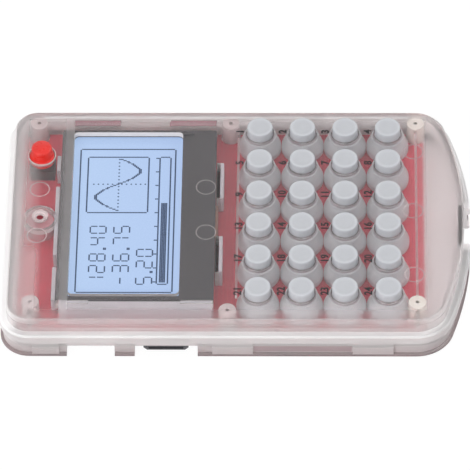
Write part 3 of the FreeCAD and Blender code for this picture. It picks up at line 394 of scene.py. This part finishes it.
class CasePlastic(Finish):
    """Frosted clear plastic, whose haze and painted light and shade go by height as the table of
    bands says.

    The key face is frosted again towards its rims, the walls on the socket side and at the rounded
    end are clearer than the others, and the walls of that end's notch are milky.
    """

    def __init__(self, look):
        super().__init__("case_plastic", IOR=1.32)
        under = PLATE_UNDER / MM
        self.along, self.across, self.height = (self.axis(letter) for letter in "XYZ")
        self.cloud = self.noise(14.0, detail=1.0)
        self.on_face = self.over(self.height, under - 0.2, under - 0.1)
        shade, haze = self.bands(look)
        blur, milk = self.rims()
        notch = self.notch()
        haze = self.times(haze, self.times(self.spread(self.cloud, 0.93, 1.07), self.walls()))
        haze = self.sum("ADD", haze, self.times(milk, look.rim_haze))
        clear = self.sum("SUBTRACT", 1.0, self.sum("MAXIMUM", haze, notch))
        self.feed("Transmission Weight", clear)
        self.feed("Base Color", self.tint(shade, notch))
        frost = self.over(self.height, under - 0.6, under, 0.40, 0.10)
        self.feed("Roughness", self.sum("ADD", frost, self.times(blur, 0.25)))
        self.relief(self.noise(0.9, detail=1.0), 0.002)

    def bands(self, look):
        """Painted shade, highlights and haze by height: one ramp of colours, haze in its alpha."""
        hazes = {"side": look.side_haze, "face": look.face_haze, "edge": look.edge_haze,
                 "full": 1.0}
        share = self.spread(self.height, 0, 1, 0, PLATE_TOP)
        ramp = self.node("ShaderNodeValToRGB", {0: share})
        stops = ramp.color_ramp.elements
        for _ in range(len(CASE_BANDS) - len(stops)):
            stops.new(0.5)
        for stop, (level, shade, kind, part) in zip(stops, CASE_BANDS):
            stop.position = level * MM / PLATE_TOP
            stop.color = toned(look.case_colour, shade)[:3] + [min(1.0, hazes[kind] * part)]
        return ramp.outputs["Color"], ramp.outputs["Alpha"]

    def rims(self):
        """Blur and milk of the key face: four rims, beside the display, and the front left."""
        along, across = self.along, self.across
        beside = self.times(self.over(along, -55.5, -56.2), self.over(along, -58.0, -60.5, 1, 0))
        corner = self.times(self.over(along, -65, -68), self.over(across, -6, -18))
        rims = ((self.over(across, -40, -44), 0.2), (self.over(across, 39, 46), 1.0),
                (self.over(along, -66, -74), 1.4), (self.over(along, 59, 66), 0.5),
                (beside, 0.5), (corner, 0.9))
        blur = milk = 0.0
        for rim, share in rims:
            blur = self.sum("MAXIMUM", blur, rim)
            milk = self.sum("MAXIMUM", milk, self.times(rim, share))
        return self.times(blur, self.on_face), self.times(milk, self.on_face)

    def walls(self):
        """Share of its haze that a wall keeps: less on the socket side and at the rounded end."""
        least = self.over(self.height, 10.25, 10.4, 0.8, 0.32)
        sides = self.over(self.across, -46.5, -44.0, least, 1.1)
        rounded_end = self.over(self.along, 63, 69, 1.0, 0.6)
        display_end = self.over(self.along, -74.5, -72, 1.3, 1.0)
        return self.times(sides, self.times(rounded_end, display_end))

    def notch(self):
        """Milk in the walls of the rounded end's notch, below the ledge."""
        aside = self.over(self.sum("ABSOLUTE", self.across, 0.0), 10, 13, 1, 0)
        notch = self.times(self.over(self.along, 71.5, 72.5, 0, 0.9), aside)
        return self.times(notch, self.over(self.height, 10.3, 11.0, 1, 0))

    def tint(self, shade, notch):
        """Colour: painted red light from the board low down, painted red light and shade on the
        back edge, and painted shade in a recessed strip of the front wall.
        """
        # Painted red light from the board, strongest near the foot.
        low = self.over(self.height, 0, 8, 0.26, 0.03)
        painted_board_glow = self.times(self.spread(self.cloud, 0.7, 1.2), low)
        # Painted red light and shade along the back edge of the key face.
        back = self.times(self.over(self.across, 45.0, 46.2, 0, 0.45), self.on_face)
        colour = self.blend(self.sum("ADD", painted_board_glow, back), shade, (0.80, 0.55, 0.57, 1))
        colour = self.blend(notch, colour, (0.95, 0.92, 0.92, 1))
        # Painted shade in the recessed strip of the lower front wall, right of the middle.
        recess_shade = 0.6
        for way, start, end in ((self.along, 5.8, 6.2), (self.along, 38.8, 38.4),
                                (self.across, -47.0, -47.6),
                                (self.height, 1.98, 2.06), (self.height, 4.8, 4.5)):
            recess_shade = self.times(recess_shade, self.over(way, start, end))
        return self.blend(recess_shade, colour, (0.42, 0.27, 0.30, 1))


def board_finish(look):
    """Red solder mask, painted shade among the keys, faint copper runs under it and a fine grain.
    """
    made = Finish("board", IOR=1.5)
    runs = made.node("ShaderNodeTexBrick", {
        "Vector": made.where, "Scale": 1 / (9.0 * MM), "Mortar Size": 0.02, "Mortar Smooth": 0.3,
        "Brick Width": 0.16, "Row Height": 1.3}).outputs["Fac"]
    red, along = look.board_colour, made.axis("X")
    tone = made.spread(made.noise(7.0), 0, 1)
    mask = made.blend(tone, toned(red, 1.0), toned(red, 1.12, 0.01))
    # Painted shade on the board among the keys, where the cups cast it.
    cup_shade = made.times(made.over(along, -8.5, -7.5), made.over(along, 50, 57, 1, 0))
    mask = made.blend(cup_shade, mask, toned(red, 0.74))
    made.feed("Base Color", made.blend(runs, mask, toned(red, 0.93)))
    made.feed("Roughness", made.spread(made.noise(1.4), 0.32, 0.5))
    made.relief(runs, 0.02)
    return made.material


def lit_finish(look):
    """Backlit panel: it glows evenly, a little brighter at the display end of the case."""
    made = Finish("display_glass", Emission_Strength=look.screen_light, Roughness=0.12)
    fade = made.over(made.axis("X"), WINDOW[0], WINDOW[2], 1, 0)
    tone = made.times(fade, made.spread(made.noise(16.0), 0.7, 1.0))
    blue = look.screen_colour
    made.feed("Emission Color", made.blend(tone, toned(blue, 1.0), toned(blue, 1.12)))
    grain = made.spread(made.noise(0.5), 0, 1)
    made.feed("Base Color", made.blend(grain, (0.20, 0.26, 0.36, 1), (0.24, 0.30, 0.40, 1)))
    return made.material


# Sizes and colours that a user would change

class CaseLook(bpy.types.PropertyGroup):
    """Case, keys, board and display."""

    case_colour: FloatVectorProperty(
        name="Case", description="Colour of the frosted plastic", subtype="COLOR",
        default=(0.985, 0.955, 0.955), min=0, max=1)
    face_haze: FloatProperty(
        name="Face haze", description="Share of the view that each side of the key face hides",
        subtype="FACTOR", default=0.03, min=0, max=1)
    edge_haze: FloatProperty(
        name="Edge haze", description="Share of the view that a cut edge of the key face hides",
        subtype="FACTOR", default=0.35, min=0, max=1)
    side_haze: FloatProperty(
        name="Side haze", description="Share of the view that each side of a frosted wall hides",
        subtype="FACTOR", default=0.45, min=0, max=1)
    rim_haze: FloatProperty(
        name="Rim haze",
        description="Share of the view that the rim of the key face hides on top of that",
        subtype="FACTOR", default=0.18, min=0, max=1)
    key_colour: FloatVectorProperty(
        name="Keys", description="Colour of the key caps", subtype="COLOR",
        default=(0.560, 0.573, 0.606), min=0, max=1)
    dish: FloatProperty(
        name="Dish", description="Depth of the hollow in a key's top, in mm", default=0.3,
        min=0, max=1)
    stop_colour: FloatVectorProperty(
        name="Stop button", description="Colour of the red button", subtype="COLOR",
        default=(0.80, 0.028, 0.02), min=0, max=1)
    board_colour: FloatVectorProperty(
        name="Board", description="Colour of the solder mask", subtype="COLOR",
        default=(0.72, 0.045, 0.09), min=0, max=1)
    screen_colour: FloatVectorProperty(
        name="Screen", description="Colour of the lit panel", subtype="COLOR",
        default=(0.43, 0.60, 0.96), min=0, max=1)
    screen_light: FloatProperty(
        name="Screen light", description="Strength of the panel's own light", default=0.51,
        min=0, max=3)
    number_height: FloatProperty(
        name="Numbers", description="Height of the printed numbers, in mm", default=2.5,
        min=1, max=5)


class StageLook(bpy.types.PropertyGroup):
    """Camera, lamps and floor."""

    elevation: FloatProperty(
        name="Elevation", description="Camera's height over the table", subtype="ANGLE",
        default=math.radians(48.02))
    turn: FloatProperty(
        name="Turn", description="Camera's turn about the upright axis", subtype="ANGLE",
        default=math.radians(-1.68))
    roll: FloatProperty(
        name="Roll", description="Camera's roll about its line of sight", subtype="ANGLE",
        default=math.radians(-1.19))
    distance: FloatProperty(
        name="Distance", description="Camera to the point it looks at", unit="LENGTH", default=1.8)
    lens: FloatProperty(
        name="Lens", description="Focal length in mm, for a picture 36 mm wide", default=406.1)
    aim: FloatVectorProperty(
        name="Aim", description="Point on the table that the camera looks at", unit="LENGTH",
        default=(-0.00096, 0.00498, 0.0))
    sky: FloatProperty(
        name="Surroundings", description="Strength of the even light all round", default=0.73,
        min=0)
    lamp: FloatProperty(
        name="Main lamp", description="Power of the lamp at the front left", unit="POWER",
        default=4.6, min=0)
    back_lamp: FloatProperty(
        name="Side lamp", description="Power of the lamp at the rounded end", unit="POWER",
        default=1.95, min=0)


class CONTROLLER_OT_keys(bpy.types.Operator):
    """Twenty-four round keys with dished tops, each with its flange and stem"""

    bl_idname = "controller.keys"
    bl_label = "Keys"

    def execute(self, context):
        look = context.scene.controller_case
        finish = self.finish(look)
        for node in KEYS:
            low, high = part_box(node)
            profile = self.profile(low.z / MM, high.z / MM, look.dish)
            mesh = mesh_of(node + "_cap", turned(profile, spots_of(node), sides=56))
            place(node + "_cap", mesh, finish, node + "_body", "key_plastic", node)
        return {"FINISHED"}

    @staticmethod
    def finish(look):
        """Matt grey, painted highlight on the rim, painted red light from the board on the flange.
        """
        made = Finish("key_plastic", IOR=1.46)
        grey = made.mottle(look.key_colour, grain=2.5, rough=(0.42, 0.56), relief=0.008,
                           change=0.02)
        height, top = made.axis("Z"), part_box(KEYS[0])[1].z / MM
        # Painted highlight: the rim is paler, as its rounding catches the light.
        rim = made.over(height, top - 0.8 * look.dish, top - 0.2 * look.dish)
        body = made.blend(rim, grey, toned(look.key_colour, 1.08))
        # Painted red light from the board on the flange.
        flange = made.spread(height, 1, 0, PLATE_UNDER, PLATE_TOP)
        board_red_bounce = toned(look.key_colour, (0.92, 0.84, 0.85))
        made.feed("Base Color", made.blend(flange, body, board_red_bounce))
        return made.material

    @staticmethod
    def profile(low, top, dish):
        """Half section: hollow by the sixth power of the radius, round rim, wall, flange, stem."""
        rim, wall, flange, stem = 3.7, 4.3, 4.85, 1.3
        under, foot = PLATE_UNDER / MM - 0.3, low + 1.4
        radius = np.linspace(0, rim, 12)
        hollow = np.stack([radius, top - dish * (1 - (radius / rim) ** 6)], -1)
        rest = rounded([(rim, top, 0), (wall, top, 0.5), (wall, under, 0), (flange, under, 0.25),
                        (flange, foot, 0.25), (stem, foot, 0), (stem, low, 0.2), (0, low, 0)])
        return np.concatenate([hollow, rest[1:]])


class CONTROLLER_OT_guides(bpy.types.Operator):
    """Frosted cups under the key face, one round each key down to the board"""

    bl_idname = "controller.guides"
    bl_label = "Key guides"

    def execute(self, context):
        hole, neck, cup, wall = 5.0, 5.7, 7.2, 0.45
        top, foot, waist = PLATE_UNDER / MM - 0.02, BOARD_TOP / MM + 0.25, 12.9
        outside = [(hole, top, 0), (hole + 0.5, top, 0.2), (neck, waist, 0.8), (cup, 9.2, 1.6),
                   (cup, foot, 0.2)]
        inside = [(cup - wall, foot, 0.2), (cup - wall, 9.3, 1.4), (neck - wall, waist, 0.6),
                  (hole, waist + 0.5, 0.1), (hole, top, 0)]
        cups = turned(rounded(outside + inside, steps=5), spots_of(*KEYS), sides=48)
        case_piece("key_guides", cups, plain_finish("guide_plastic"))
        return {"FINISHED"}


class CONTROLLER_OT_stop_button(bpy.types.Operator):
    """Red button with a domed top"""

    bl_idname = "controller.stop_button"
    bl_label = "Stop button"

    def execute(self, context):
        look = context.scene.controller_case
        low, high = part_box("stop_button")
        crown, sag, shoulder, wall, flange, stem = 2.4, 0.3, 3.45, 3.6, 4.2, 1.7
        foot, top, face = low.z / MM, high.z / MM, PLATE_TOP / MM
        under = PLATE_UNDER / MM - 1.5
        radius = np.linspace(0, crown, 8)
        dome = np.stack([radius, top - sag * (radius / crown) ** 2], -1)
        rest = rounded([(crown, top - sag, 0), (shoulder, top - 0.55, 0.8), (wall, face - 0.1, 0.1),
                        (flange, face - 0.4, 0.25), (flange, under, 0.2), (stem, under, 0),
                        (stem, foot, 0.2), (0, foot, 0)])
        profile = np.concatenate([dome, rest[1:]])
        mesh = mesh_of("stop_button_cap", turned(profile, spots_of("stop_button"), sides=56))
        finish = plain_finish("stop_plastic", look.stop_colour)
        place("stop_button_cap", mesh, finish, "stop_button_body", "stop_plastic", "stop_button")
        return {"FINISHED"}


class CONTROLLER_OT_case(bpy.types.Operator):
    """Frosted shells, and what shows in them: ribs, boss sleeves, moulding marks and cut edges"""

    bl_idname = "controller.case"
    bl_label = "Case"

    def execute(self, context):
        dress(CasePlastic(context.scene.controller_case).material, "upper_shell", "lower_shell")
        ceiling = PLATE_UNDER / MM - 0.03
        self.ribs(ceiling)
        self.bosses(ceiling)
        self.edges()
        return {"FINISHED"}

    @staticmethod
    def ribs(top):
        """Bars round the display, and two thin dark strips of painted shade along the back latches.
        """
        low, high = (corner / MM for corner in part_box("display_frame"))
        front, left, right = low.y - 3.3, low.x - 1.5, high.x + 1.55
        bars = [(low.x + 1.2, front, high.x - 0.3, low.y - 0.35, top - 0.5)]
        bars += [(start, front - 0.4, end, front, top - 0.7)
                 for start, end in ((-50.7, -44.7), (-18.4, -12.1))]
        bars += [(left, start, left + 1.3, end, top - 0.6)
                 for start, end in ((21.6, 28.5), (-16.7, 14.3), (-36.8, -22.2))]
        bars += [(right, start, right + 1.14, end, top)
                 for start, end in ((8.75, 24.65), (-24.65, -8.75))]
        # Dark red strips of painted shade, with the board's red, in the back latches' recesses.
        latches = [(start, 42.2, start + 16.0, 44.4, top) for start in (-56.4, -23.6)]
        for name, finish, foot, rows in (("ribs", "rib_plastic", BOARD_TOP / MM + 0.05, bars),
                                         ("latch_shadow_strips", "latch_shade", top - 0.4, latches)):
            grids = [upright(rounded_box(*row[:4], 0.2), foot, row[4]) for row in rows]
            case_piece(name, np.concatenate(grids), plain_finish(finish))

    @staticmethod
    def bosses(top):
        """Sleeves of the screw bosses, and the rings that the mould's pins leave on the face."""
        bore, vent, outer, foot, depth = 1.27, 0.65, 2.96, 5.1, 13.0
        sleeve = rounded([(bore, foot, 0), (bore, depth, 0), (vent, depth, 0), (vent, top, 0),
                          (outer, top, 0.15), (outer, foot, 0), (bore, foot, 0)], steps=4)
        spots = metres(BOSSES)
        for name, some in (("boss_sleeves", spots[:2] + spots[3:5]),
                           ("end_boss_sleeves", spots[2::3])):
            case_piece(name, turned(sleeve, some, sides=40), plain_finish(name))
        ring, width, rise = 3.25, 0.15, 0.05
        turn = np.linspace(0, 2 * math.pi, 9)[:, None]
        bead = np.concatenate([ring + width * np.cos(turn), top - rise + rise * np.sin(turn)], -1)
        rings = turned(bead, metres(EJECTOR_MARKS), sides=40)
        case_piece("moulding_marks", rings, plain_finish("mark_plastic"))

    @staticmethod
    def edges():
        """Cut edges of the key face and its back wall's line, solid where the face is clear.

        The rings in the key holes are painted shadow of the gap round each key, the stop hole's
        ring is partly a painted highlight of its chamfer, the dark disc in the sound hole is
        painted shade, and the back wall's line is a painted highlight along its top edge.
        """
        low, high, hole = PLATE_UNDER / MM + 0.03, PLATE_TOP / MM - 0.03, PLATE_UNDER / MM + 0.61
        stop, sounder = spots_of("stop_button"), spots_of("buzzer")
        cut = plain_finish("cut_edge")
        key_hole, stop_hole = hoop(4.58, 4.74, 15.3, high), hoop(4.46, 4.75, 15.5, high)
        throat, mouth, foot, radius = 1.28, 2.75, 14.9, 1.25
        cone = [(throat, foot), (mouth, high), (mouth, foot), (throat, foot)]
        disc = [(0, hole + 0.03), (radius, hole + 0.03), (radius, hole), (0, hole)]
        for name, profile, spots, sides, finish, slot in (
                # Painted shadow of the gap round each key.
                ("key_hole_shadows", key_hole, spots_of(*KEYS), 48, plain_finish("hole_edge"),
                 "case_plastic"),
                # Pale cut edge with a painted highlight of the hole's chamfer.
                ("stop_hole_edge", stop_hole, stop, 48, cut, "case_plastic"),
                ("sound_mouth", cone, sounder, 40, plain_finish("mouth_plastic"), "case_plastic"),
                # Dark disc of painted shade in the sound hole.
                ("sounder_hole", disc, sounder, 32, plain_finish("sounder_hole"), "dark_plastic")):
            case_piece(name, turned(profile, spots, sides), finish, slot)
        # Painted highlight along the back wall's top edge.
        line = upright(rounded_box(*WALL_HIGHLIGHT, 0.3), high - 0.09, high - 0.01)
        case_piece("wall_highlight", line, plain_finish("wall_highlight"))
        left, front, right, back = WINDOW
        window = rounded_box(left + 0.02, front, right - 0.02, back - 0.02, WINDOW_CORNER)
        inner = window[:2 * CORNER_STEPS]
        outwards = inner - inner.mean(0)
        thick = 0.3 * np.sin(np.linspace(0, math.pi, len(inner)))[:, None] ** 0.5
        outer = inner + thick * outwards / np.linalg.norm(outwards, axis=1)[:, None]
        rings = stacked([(inner, low), (inner, high), (outer, high), (outer, low)])
        case_piece("window_edge", rings, cut, wrap_rows=False, wrap_columns=True)


class CONTROLLER_OT_numbers(bpy.types.Operator):
    """Plain numbers printed on the key face, one beside each key"""

    bl_idname = "controller.numbers"
    bl_label = "Key numbers"

    # Share of a letter's size that a digit is high, and a number's place from its key in mm.
    DIGIT_SHARE = 0.7
    BESIDE_KEY = (-6.65, 0.4, 0)

    def execute(self, context):
        look = context.scene.controller_case
        printed = bmesh.new()
        for number, node in enumerate(KEYS, 1):
            words = bpy.data.curves.new("number", "FONT")
            words.body = str(number)
            words.size = look.number_height * MM / self.DIGIT_SHARE
            words.offset = 0.06 * MM
            words.bevel_depth = 0.07 * MM
            words.bevel_resolution = 0
            # Finer outlines leave gaps where some digits are filled.
            words.resolution_u = 5
            words.align_x, words.align_y = "CENTER", "CENTER"
            holder = bpy.data.objects.new("number", words)
            mesh = bpy.data.meshes.new_from_object(holder)
            spot = middle(node) + Vector(self.BESIDE_KEY) * MM
            spot.z = PLATE_TOP + 0.08 * MM
            mesh.transform(Matrix.Translation(spot) @ Matrix.Rotation(math.pi / 2, 4, "Z"))
            printed.from_mesh(mesh)
            bpy.data.objects.remove(holder)
            bpy.data.curves.remove(words)
            bpy.data.meshes.remove(mesh)
        sew(printed, least=1e-9)
        mesh = bpy.data.meshes.new("key_numbers")
        printed.to_mesh(mesh)
        printed.free()
        place("key_numbers", mesh, plain_finish("black_ink"), "case", "dark_plastic")
        return {"FINISHED"}


class CONTROLLER_OT_screen(bpy.types.Operator):
    """Display: lit panel, frame, border, and dark dots for numbers, a curve and a gauge"""

    bl_idname = "controller.screen"
    bl_label = "Display"

    # Dots along the reading direction and upwards, their pitch along X and Y in mm, the share of a
    # pitch that a dot reaches to each side, and the margin below the lowest row in mm.
    DOTS = (128, 64)
    PITCH = (0.53, 0.52)
    REACH = 0.46
    MARGIN = 1.6
    SEGMENTS = {"0": "abcdef", "1": "bc", "2": "abged", "3": "abgcd", "4": "fgbc", "5": "afgcd",
                "6": "afgedc", "7": "abc", "8": "abcdefg", "9": "abcdfg", "-": "g", ".": ""}
    BARS = {"a": np.s_[1:6, 10:11], "b": np.s_[6:7, 6:10], "c": np.s_[6:7, 1:5],
            "d": np.s_[1:6, 0:1], "e": np.s_[0:1, 1:5], "f": np.s_[0:1, 6:10], "g": np.s_[1:6, 5:6]}

    def execute(self, context):
        dress(lit_finish(context.scene.controller_case), "display_glass")
        self.border()
        across, up = np.nonzero(self.picture())
        pitch = np.array(self.PITCH) * MM
        x = (WINDOW[2] - self.MARGIN) * MM - (up + 0.5) * pitch[0]
        y = -pitch[1] * self.DOTS[0] / 2 + (across + 0.5) * pitch[1]
        corner = np.array([(-1, -1), (1, -1), (1, 1), (-1, 1)]) * pitch * self.REACH
        flat = np.stack([x, y], -1)[:, None] + corner[None]
        mesh = prisms("screen_dots", flat, GLASS_TOP - 0.02 * MM, GLASS_TOP + 0.03 * MM)
        place("screen_dots", mesh, plain_finish("dark_dots"), "case", "display_glass")
        return {"FINISHED"}

    @staticmethod
    def border():
        """Frame round the panel, and the dark border on the glass between frame and window."""
        slate = plain_finish("display_frame")
        low, high = (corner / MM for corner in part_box("display_frame"))
        wall, lip = 1.05, rounded_box(*LIP, 0.2)
        outer = rounded_box(low.x, low.y, high.x, high.y, 0.5)
        seat = rounded_box(low.x + wall, low.y + wall, high.x - wall, high.y - wall, 0.2)
        top, under = high.z - 0.06, GLASS_TOP / MM + 0.03
        rings = [(outer, low.z), (outer, top), (lip, top), (lip, under), (seat, under),
                 (seat, low.z)]
        mesh = mesh_of("screen_frame", stacked(rings), wrap_columns=True)
        place("screen_frame", mesh, slate, "case", "display_frame", "display_frame")
        view = rounded_box(WINDOW[0], LIP[1] + 0.04, WINDOW[2], LIP[3] - 0.04, WINDOW_CORNER)
        ceiling, floor = under - 0.015, under - 0.045
        rings = stacked([(lip, floor), (lip, ceiling), (view, ceiling), (view, floor)])
        case_piece("screen_border", rings, slate, "display_frame", wrap_columns=True)

    def picture(self):
        """Raster of dots, first index along the reading direction and second one upwards."""
        dots = np.zeros(self.DOTS, bool)
        self.frame(dots, 1, 1, 126, 62)
        for row, text in enumerate(("128.40", "-36.75", "5.20")):
            self.digits(dots, text, 8, 44 - 15 * row)
        self.curve(dots, 70, 18, 119, 57)
        self.gauge(dots, 8, 4, 119, 11, filled=79)
        return dots

    @staticmethod
    def frame(dots, left, low, right, high):
        """Outline with its corner dots left out."""
        dots[left + 1:right, [low, high]] = True
        dots[[left, right], low + 1:high] = True

    def digits(self, dots, text, left, low):
        """Seven-bar digits, 7 dots wide and 11 high."""
        for mark in text:
            cell = dots[left:left + 7, low:low + 11]
            for bar in self.SEGMENTS[mark]:
                cell[self.BARS[bar]] = True
            if mark == ".":
                cell[0:2, 0:2] = True
            left += 4 if mark == "." else 10

    def curve(self, dots, left, low, right, high):
        """One sine wave two dots thick, with dotted axes, in a frame."""
        self.frame(dots, left, low, right, high)
        first, last, level, swing = left + 2, right - 1, (low + high) // 2, 14
        along = np.arange(first, last)
        wave = np.sin((along - first) / (last - first) * 2 * math.pi)
        height = np.round(level + swing * wave).astype(int)
        for lift in (0, 1):
            dots[along, height + lift] = True
        dots[first:last:3, level] = True
        dots[(first + last) // 2, low + 2:high - 1:3] = True

    def gauge(self, dots, left, low, right, high, filled):
        """Frame that is dark as far as a dot of its length, with ticks above it."""
        self.frame(dots, left, low, right, high)
        dots[left + 2:filled, low + 2:high - 1] = True
        dots[left + 2:right:12, high + 1:high + 3] = True


class CONTROLLER_OT_board(bpy.types.Operator):
    """Red board, its solder joints underneath, the parts that stand on it, and the case screws"""

    bl_idname = "controller.board"
    bl_label = "Board and parts"

    def execute(self, context):
        black, tin = plain_finish("dark_plastic"), plain_finish("switch_metal")
        dress(board_finish(context.scene.controller_case), "circuit_board")
        dress(black, "key_switch_bases", "controller_chip", "memory_chip")
        dress(tin, "key_switch_covers", "card_socket")
        for name, node in (("grey_plastic", "stop_switch"), ("pale_plastic", "buzzer"),
                           ("backlight", "display_backlight"), ("ribbon", "display_ribbon"),
                           ("socket_plastic", "cable_socket"), ("screw_steel", "case_screws")):
            dress(plain_finish(name), node)
        self.screw_crosses(black)
        self.solder_joints(tin)
        return {"FINISHED"}

    @staticmethod
    def solder_joints(finish):
        """Cones under each switch's four legs, drawn in by the power 1.5 of the radius."""
        leg_x, leg_y = 3.25 * MM, 2.25 * MM
        legs = [(middle(node).x + side * leg_x, middle(node).y + end * leg_y)
                for node in KEYS for side in (-1, 1) for end in (-1, 1)]
        under, foot, drop = BOARD_UNDER / MM, 0.9, 0.7
        radius = np.linspace(foot, 0, 4)
        cone = np.stack([radius, under - drop * (1 - (radius / foot) ** 1.5)], -1)
        joint = np.concatenate([[(0, under + 0.05), (foot, under + 0.05)], cone[1:]])
        case_piece("solder_joints", turned(joint, legs, sides=8), finish, "switch_metal")

    @staticmethod
    def screw_crosses(finish):
        """Cross in each screw head, seen from below: the twelve corners of a plus sign."""
        reach, half = 1.35, 0.32
        arm = np.array([(reach, -half), (reach, half), (half, half)])
        quarter = np.array([(0, -1), (1, 0)])
        plus = np.concatenate([arm @ np.linalg.matrix_power(quarter, turn).T for turn in range(4)])
        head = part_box("case_screws")[0].z
        flat = (np.array(BOSSES)[:, None] + plus[None]) * MM
        mesh = prisms("screw_crosses", flat, head - 0.01 * MM, head + 0.2 * MM)
        place("screw_crosses", mesh, finish, "case", "dark_plastic")


class CONTROLLER_OT_stage(bpy.types.Operator):
    """Pale floor, even surroundings, two soft lamps and the camera"""

    bl_idname = "controller.stage"
    bl_label = "Stage"

    def execute(self, context):
        look = context.scene.controller_stage
        context.scene.view_settings.view_transform = "Standard"
        context.scene.cycles.transparent_max_bounces = 32
        self.floor()
        self.surroundings(look)
        self.lamp("front_lamp", spot=(-0.5, -0.75, 0.6), size=0.55, power=look.lamp)
        self.lamp("side_lamp", spot=(0.8, 0.35, 0.5), size=0.5, power=look.back_lamp)
        self.camera(look)
        return {"FINISHED"}

    @staticmethod
    def floor():
        """Round floor just below the table plane: x = r cos t, y = r sin t."""
        turn = np.linspace(0, 2 * math.pi, 64, endpoint=False)[:, None]
        reach = np.array([0, 0.5, 2.0, 6.0])[None]
        level = 0 * turn * reach - 0.3 * MM
        rings = np.stack([reach * np.cos(turn), reach * np.sin(turn), level], -1)[None]
        mesh = mesh_of("floor", rings)
        paper = Finish("floor_paper", Base_Color=(0.86, 0.86, 0.86, 1), Roughness=0.9,
                       Specular_IOR_Level=0.0)
        glow = paper.node("ShaderNodeEmission", {"Strength": 1.05}).outputs[0]
        share = paper.times(paper.seen(), 0.9)
        mix = paper.node("ShaderNodeMixShader", {0: share, 1: paper.shader.outputs[0], 2: glow})
        paper.link(mix.outputs[0], paper.tree.nodes["Material Output"].inputs["Surface"])
        mesh.materials.append(paper.material)
        floor = bpy.data.objects.new("floor", mesh)
        bpy.context.scene.collection.objects.link(floor)

    @staticmethod
    def surroundings(look):
        """White to the camera; on the object a light that falls off from horizon to overhead."""
        world = bpy.data.worlds.new("surroundings")
        world.use_nodes = True
        made = Nodes(world.node_tree)
        plain = world.node_tree.nodes["Background"].inputs
        plain["Color"].default_value = (1, 1, 1, 1)
        way = made.node("ShaderNodeTexCoord").outputs["Generated"]
        height = made.node("ShaderNodeSeparateXYZ", {0: way}).outputs["Z"]
        light = made.spread(height, look.sky * 1.2, look.sky * 0.8, 0, 1)
        made.link(made.spread(made.seen(), light, 1.0, 0, 1), plain["Strength"])
        bpy.context.scene.world = world

    @staticmethod
    def lamp(name, spot, size, power):
        """Square soft lamp aimed at the object."""
        light = bpy.data.lights.new(name, "AREA")
        light.size = size
        light.energy = power
        lamp = bpy.data.objects.new(name, light)
        lamp.location = spot
        lamp.rotation_euler = (-Vector(spot)).to_track_quat("-Z", "Y").to_euler()
        bpy.context.scene.collection.objects.link(lamp)

    @staticmethod
    def camera(look):
        """Camera on a sphere round its aim, looking along (sin t cos e, cos t cos e, -sin e)."""
        rise, turn = look.elevation, look.turn
        level = math.cos(rise)
        ahead = Vector((math.sin(turn) * level, math.cos(turn) * level, -math.sin(rise)))
        right = Vector((math.cos(turn), -math.sin(turn), 0))
        above = right.cross(ahead)
        pose = Matrix((right, above, -ahead)).transposed().to_4x4()
        eye = Vector(look.aim) - ahead * look.distance
        data = bpy.data.cameras.new("camera")
        data.sensor_width = 36.0
        data.lens = look.lens
        data.clip_end = 20.0
        camera = bpy.data.objects.new("camera", data)
        camera.matrix_world = Matrix.Translation(eye) @ pose @ Matrix.Rotation(look.roll, 4, "Z")
        bpy.context.scene.collection.objects.link(camera)
        bpy.context.scene.camera = camera


class CONTROLLER_PT_panel(bpy.types.Panel):
    """Sidebar panel with the sizes, colours and pieces of the controller"""

    bl_label = "Offline controller"
    bl_idname = "CONTROLLER_PT_panel"
    bl_space_type = "VIEW_3D"
    bl_region_type = "UI"
    bl_category = "Controller"

    def draw(self, context):
        for group in (context.scene.controller_case, context.scene.controller_stage):
            for name in group.__annotations__:
                self.layout.prop(group, name)
        for operator in OPERATORS:
            self.layout.operator(operator.bl_idname)


OPERATORS = (CONTROLLER_OT_case, CONTROLLER_OT_board, CONTROLLER_OT_guides, CONTROLLER_OT_keys,
             CONTROLLER_OT_stop_button, CONTROLLER_OT_numbers, CONTROLLER_OT_screen,
             CONTROLLER_OT_stage)
CLASSES = (CaseLook, StageLook) + OPERATORS + (CONTROLLER_PT_panel,)


def register():
    """Add the classes and the two groups of settings."""
    for kind in CLASSES:
        bpy.utils.register_class(kind)
    bpy.types.Scene.controller_case = PointerProperty(type=CaseLook)
    bpy.types.Scene.controller_stage = PointerProperty(type=StageLook)


def unregister():
    """Take them away again."""
    del bpy.types.Scene.controller_stage
    del bpy.types.Scene.controller_case
    for kind in reversed(CLASSES):
        bpy.utils.unregister_class(kind)


def main():
    """Make every piece."""
    register()
    for operator in OPERATORS:
        group, name = operator.bl_idname.split(".")
        getattr(getattr(bpy.ops, group), name)()


if __name__ == "__main__":
    main()
